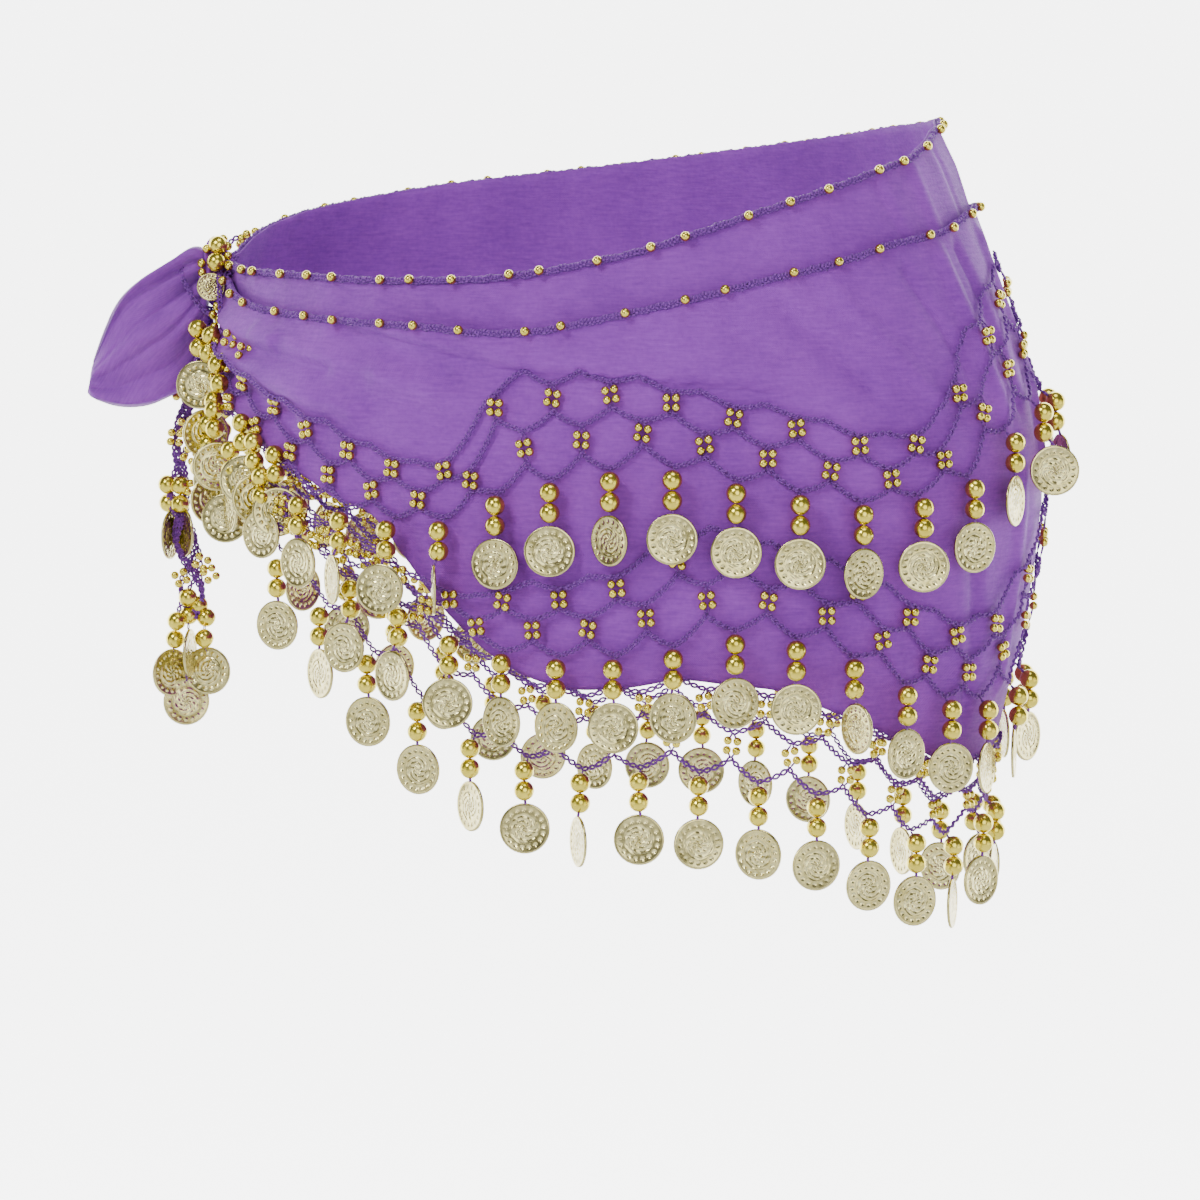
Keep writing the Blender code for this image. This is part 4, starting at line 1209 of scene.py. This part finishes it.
    def tail(self, use):
        """Bunched net: chains whose place across is the tail's half width times a sine of their
        length, so they cross, with clusters, beads and coins on them."""
        rows = np.array(TAIL_LINE)
        high = np.linspace(-4.0, -127.0, 90)
        middle = np.interp(-high, -rows[:, 0], rows[:, 1])
        half = np.interp(-high, -rows[:, 0], rows[:, 2])
        for number in range(7):
            phase = number * 2.0 * math.pi / 7 + 0.4 * math.sin(number * 3.0)
            turn = -high / (21.0 + 2.0 * math.sin(number * 2.0)) * math.pi + phase
            rows = np.stack((middle + half * np.sin(turn), high, 1.2 * np.cos(turn * 1.3)), axis=-1)
            self.chain(f"tail_chain_{number + 1}", rows, use.yarn_width * 0.9, "tail_net")
        spots = []
        for number, (out, level) in enumerate(TAIL_CLUSTERS):
            spots += cluster(out, level, 3.0, 0.5 * math.sin(number * 2.9))
        self.beads("tail_small_beads", spots, use.small_bead, "tail_coins")
        rows = [(*spot, 2.2 * math.sin(k * 2.3)) for k, spot in enumerate(TAIL_LARGE_BEADS)]
        self.beads("tail_large_beads", rows, use.large_bead, "tail_coins")
        rows = [(out, level, shift) for out, level, _, shift in TAIL_COINS]
        spins = [row[2] for row in TAIL_COINS]
        self.coins("tail_coin_discs", rows, spins, use.coin_size, "tail_coins")
        for number, rows in enumerate(TAIL_THREADS):
            self.chain(f"tail_thread_{number + 1}", rows, use.yarn_width * 0.5, "tail_coins")

    def pile(self, use):
        """Coins and beads that gather under the knot. Each lies as far to the front as the hips'
        outline takes to fall back behind its inner edge, and higher by the view's slope."""
        table = np.array([row[:3] for row in PILE_COINS])
        shift = self.clear_shift(table[:, 0] - 5.4, table[:, 1], 6.0)
        shift = shift + 1.6 * np.mod(np.arange(len(table)), 3)
        rows = np.stack((table[:, 0], table[:, 1] + VIEW_RISE * shift, shift), axis=-1)
        self.coins("pile_coins", rows, table[:, 2], use.coin_size, "knot_coins")
        beads = []
        for row, coin_row in zip(rows, PILE_COINS):
            if coin_row[3]:
                beads.append((row[0] + 0.5, row[1] + 14.4, row[2] + 0.6))
                beads.append((row[0] + 1.0, row[1] + 21.6, row[2] - 1.2))
        extra = np.array(PILE_BEADS)
        move = self.clear_shift(extra[:, 0] - 3.0, extra[:, 1], 7.5)
        beads += list(zip(extra[:, 0], extra[:, 1] + VIEW_RISE * move, move))
        self.beads("pile_beads", beads, use.large_bead, "knot_coins")
        spots = []
        for number, (out, high, cloth) in enumerate(PILE_CLUSTERS):
            move = float(self.clear_shift(np.array([out]), np.array([high]), cloth)[0])
            spots += cluster(out, high + VIEW_RISE * move, move, 0.6 * math.sin(number * 2.2 + 0.5))
        self.beads("pile_small_beads", spots, use.small_bead)

    @staticmethod
    def clear_shift(out, high, cloth):
        """Shift to the front that clears the hips, whose outline falls back as shift squared over
        198 mm, at places out from the knot and at heights, in millimetres."""
        base, outward, _ = knot_frame()
        growth = ((hip(0.0 * high, high * MM)[0] - base) @ outward) / MM
        return np.sqrt(OUTLINE_CURVE * np.maximum(growth + cloth - out, 1.0))


class SCARF_OT_stage(bpy.types.Operator):
    """Make the pale floor and backdrop, the soft lights and the camera"""

    bl_idname = "hip_scarf.stage"
    bl_label = "Stage"

    def execute(self, context):
        self.backdrop()
        self.camera()
        self.lights()
        return {"FINISHED"}

    def backdrop(self):
        """Floor that curves up into a wall by a quarter circle; the wall behind glows faintly."""
        bend = np.linspace(0.0, math.pi / 2, 24)
        flat = np.stack((np.linspace(-15.0, 3.0, 12), np.zeros(12)), axis=-1)
        curve = np.stack((3.0 + 2.0 * np.sin(bend), 2.0 - 2.0 * np.cos(bend)), axis=-1)
        wall = np.array(((5.0, 4.0), (5.0, 7.0)))
        profile = np.concatenate([flat, curve[1:], wall])
        away = np.array((-math.sin(KNOT_BEARING), math.cos(KNOT_BEARING)))
        right = np.array((math.cos(KNOT_BEARING), math.sin(KNOT_BEARING)))
        width = np.linspace(-15.0, 15.0, 9)
        places = profile[:, None, 0:1] * away + width[None, :, None] * right
        high = np.broadcast_to(profile[:, None, 1:] - 0.95, places.shape[:2] + (1,))
        points = np.concatenate([places, high], axis=-1)
        faces, _ = grid_faces(points.shape[0], points.shape[1])
        item = make_mesh("pale_floor", points, faces[:, ::-1])
        finish = Finish("pale_floor")
        place = finish.place()
        cloud = finish.noise(place, 2.0)
        finish.set("Base Color", finish.mix(cloud, (0.86, 0.86, 0.87), (0.90, 0.90, 0.91)))
        finish.set("Roughness", 0.85)
        across, ahead = finish.split(place)
        behind = ahead * math.cos(KNOT_BEARING) - across * math.sin(KNOT_BEARING) - 0.9
        finish.set("Emission Color", finish.mix(behind.clamped(), (0.0, 0.0, 0.0), (1.0, 1.0, 1.0)))
        finish.set("Emission Strength", 4.5)
        item.data.materials.append(finish.material)

    def camera(self):
        """Camera at the photograph's angle: 33 degrees to the wearer's left and 5 degrees up."""
        bearing, rise, away = KNOT_BEARING, math.radians(5.0), 2.5
        # The photograph is 1200 pixels wide at 2600 to a metre, with the origin at this place
        wide, scale, origin = 1200.0, 2600.0, (615.0, 300.0)
        level = math.cos(rise)
        back = np.array((math.sin(bearing) * level, -math.cos(bearing) * level, math.sin(rise)))
        right = np.array((math.cos(bearing), math.sin(bearing), 0.0))
        up = np.cross(back, right)
        target = right * ((wide / 2 - origin[0]) / scale) + up * ((origin[1] - wide / 2) / scale)
        place = target + back * away
        lens = bpy.data.cameras.new("camera")
        lens.sensor_width = 36.0
        lens.sensor_fit = "HORIZONTAL"
        lens.lens = lens.sensor_width * away / (wide / scale)
        item = bpy.data.objects.new("camera", lens)
        turn = Matrix((right, up, back)).transposed().to_4x4()
        turn.translation = place
        item.matrix_world = turn
        bpy.context.scene.collection.objects.link(item)
        bpy.context.scene.camera = item

    def lights(self):
        """Wide soft lights in front, at both sides and above, and an even pale surround."""
        world = bpy.data.worlds.new("surround")
        bpy.context.scene.world = world
        world.use_nodes = True
        shade = world.node_tree.nodes["Background"]
        shade.inputs[0].default_value = (1.0, 1.0, 1.0, 1.0)
        shade.inputs[1].default_value = 0.2
        right = Vector((math.cos(KNOT_BEARING), math.sin(KNOT_BEARING), 0.0))
        front = Vector((math.sin(KNOT_BEARING), -math.cos(KNOT_BEARING), 0.0))
        middle = Vector((0.0, 0.0, -0.08))
        # columns: name, right, front, height, size, power
        rows = (
            ("key", -1.1, 1.3, 1.3, 0.7, 26.0),
            ("fill", 0.4, 2.1, 0.4, 1.6, 20.0),
            ("top", 0.2, 0.5, 1.6, 0.8, 8.0),
            ("back", 0.5, -1.4, 0.9, 1.0, 3.0),
            ("left_card", -1.9, 1.1, -0.2, 1.6, 7.0),
            ("right_card", 2.0, 1.2, -0.2, 1.6, 9.0),
        )
        for name, to_right, to_front, high, size, power in rows:
            lamp = bpy.data.lights.new(name, "AREA")
            lamp.shape = "DISK"
            lamp.size = size
            lamp.energy = power
            item = bpy.data.objects.new(name, lamp)
            item.location = middle + right * to_right + front * to_front + Vector((0, 0, high))
            item.rotation_euler = (middle - item.location).to_track_quat("-Z", "Y").to_euler()
            bpy.context.scene.collection.objects.link(item)


class SCARF_PT_panel(bpy.types.Panel):
    """Colours and sizes of the scarf, and its pieces"""

    bl_idname = "SCARF_PT_panel"
    bl_label = "Hip scarf"
    bl_space_type = "VIEW_3D"
    bl_region_type = "UI"
    bl_category = "Hip scarf"

    def draw(self, context):
        layout = self.layout
        for name in ScarfSettings.__annotations__:
            layout.prop(context.scene.hip_scarf, name)
        for operator in OPERATORS:
            layout.operator(operator.bl_idname)


OPERATORS = (SCARF_OT_cloth, SCARF_OT_edges, SCARF_OT_nets, SCARF_OT_coins, SCARF_OT_knot,
             SCARF_OT_stage)
CLASSES = (ScarfSettings,) + OPERATORS + (SCARF_PT_panel,)


def register():
    for kind in CLASSES:
        bpy.utils.register_class(kind)
    bpy.types.Scene.hip_scarf = bpy.props.PointerProperty(type=ScarfSettings)


def unregister():
    del bpy.types.Scene.hip_scarf
    for kind in reversed(CLASSES):
        bpy.utils.unregister_class(kind)


def main():
    register()
    bpy.ops.hip_scarf.cloth()
    bpy.ops.hip_scarf.edges()
    bpy.ops.hip_scarf.nets()
    bpy.ops.hip_scarf.coins()
    bpy.ops.hip_scarf.knot()
    bpy.ops.hip_scarf.stage()


if __name__ == "__main__":
    main()
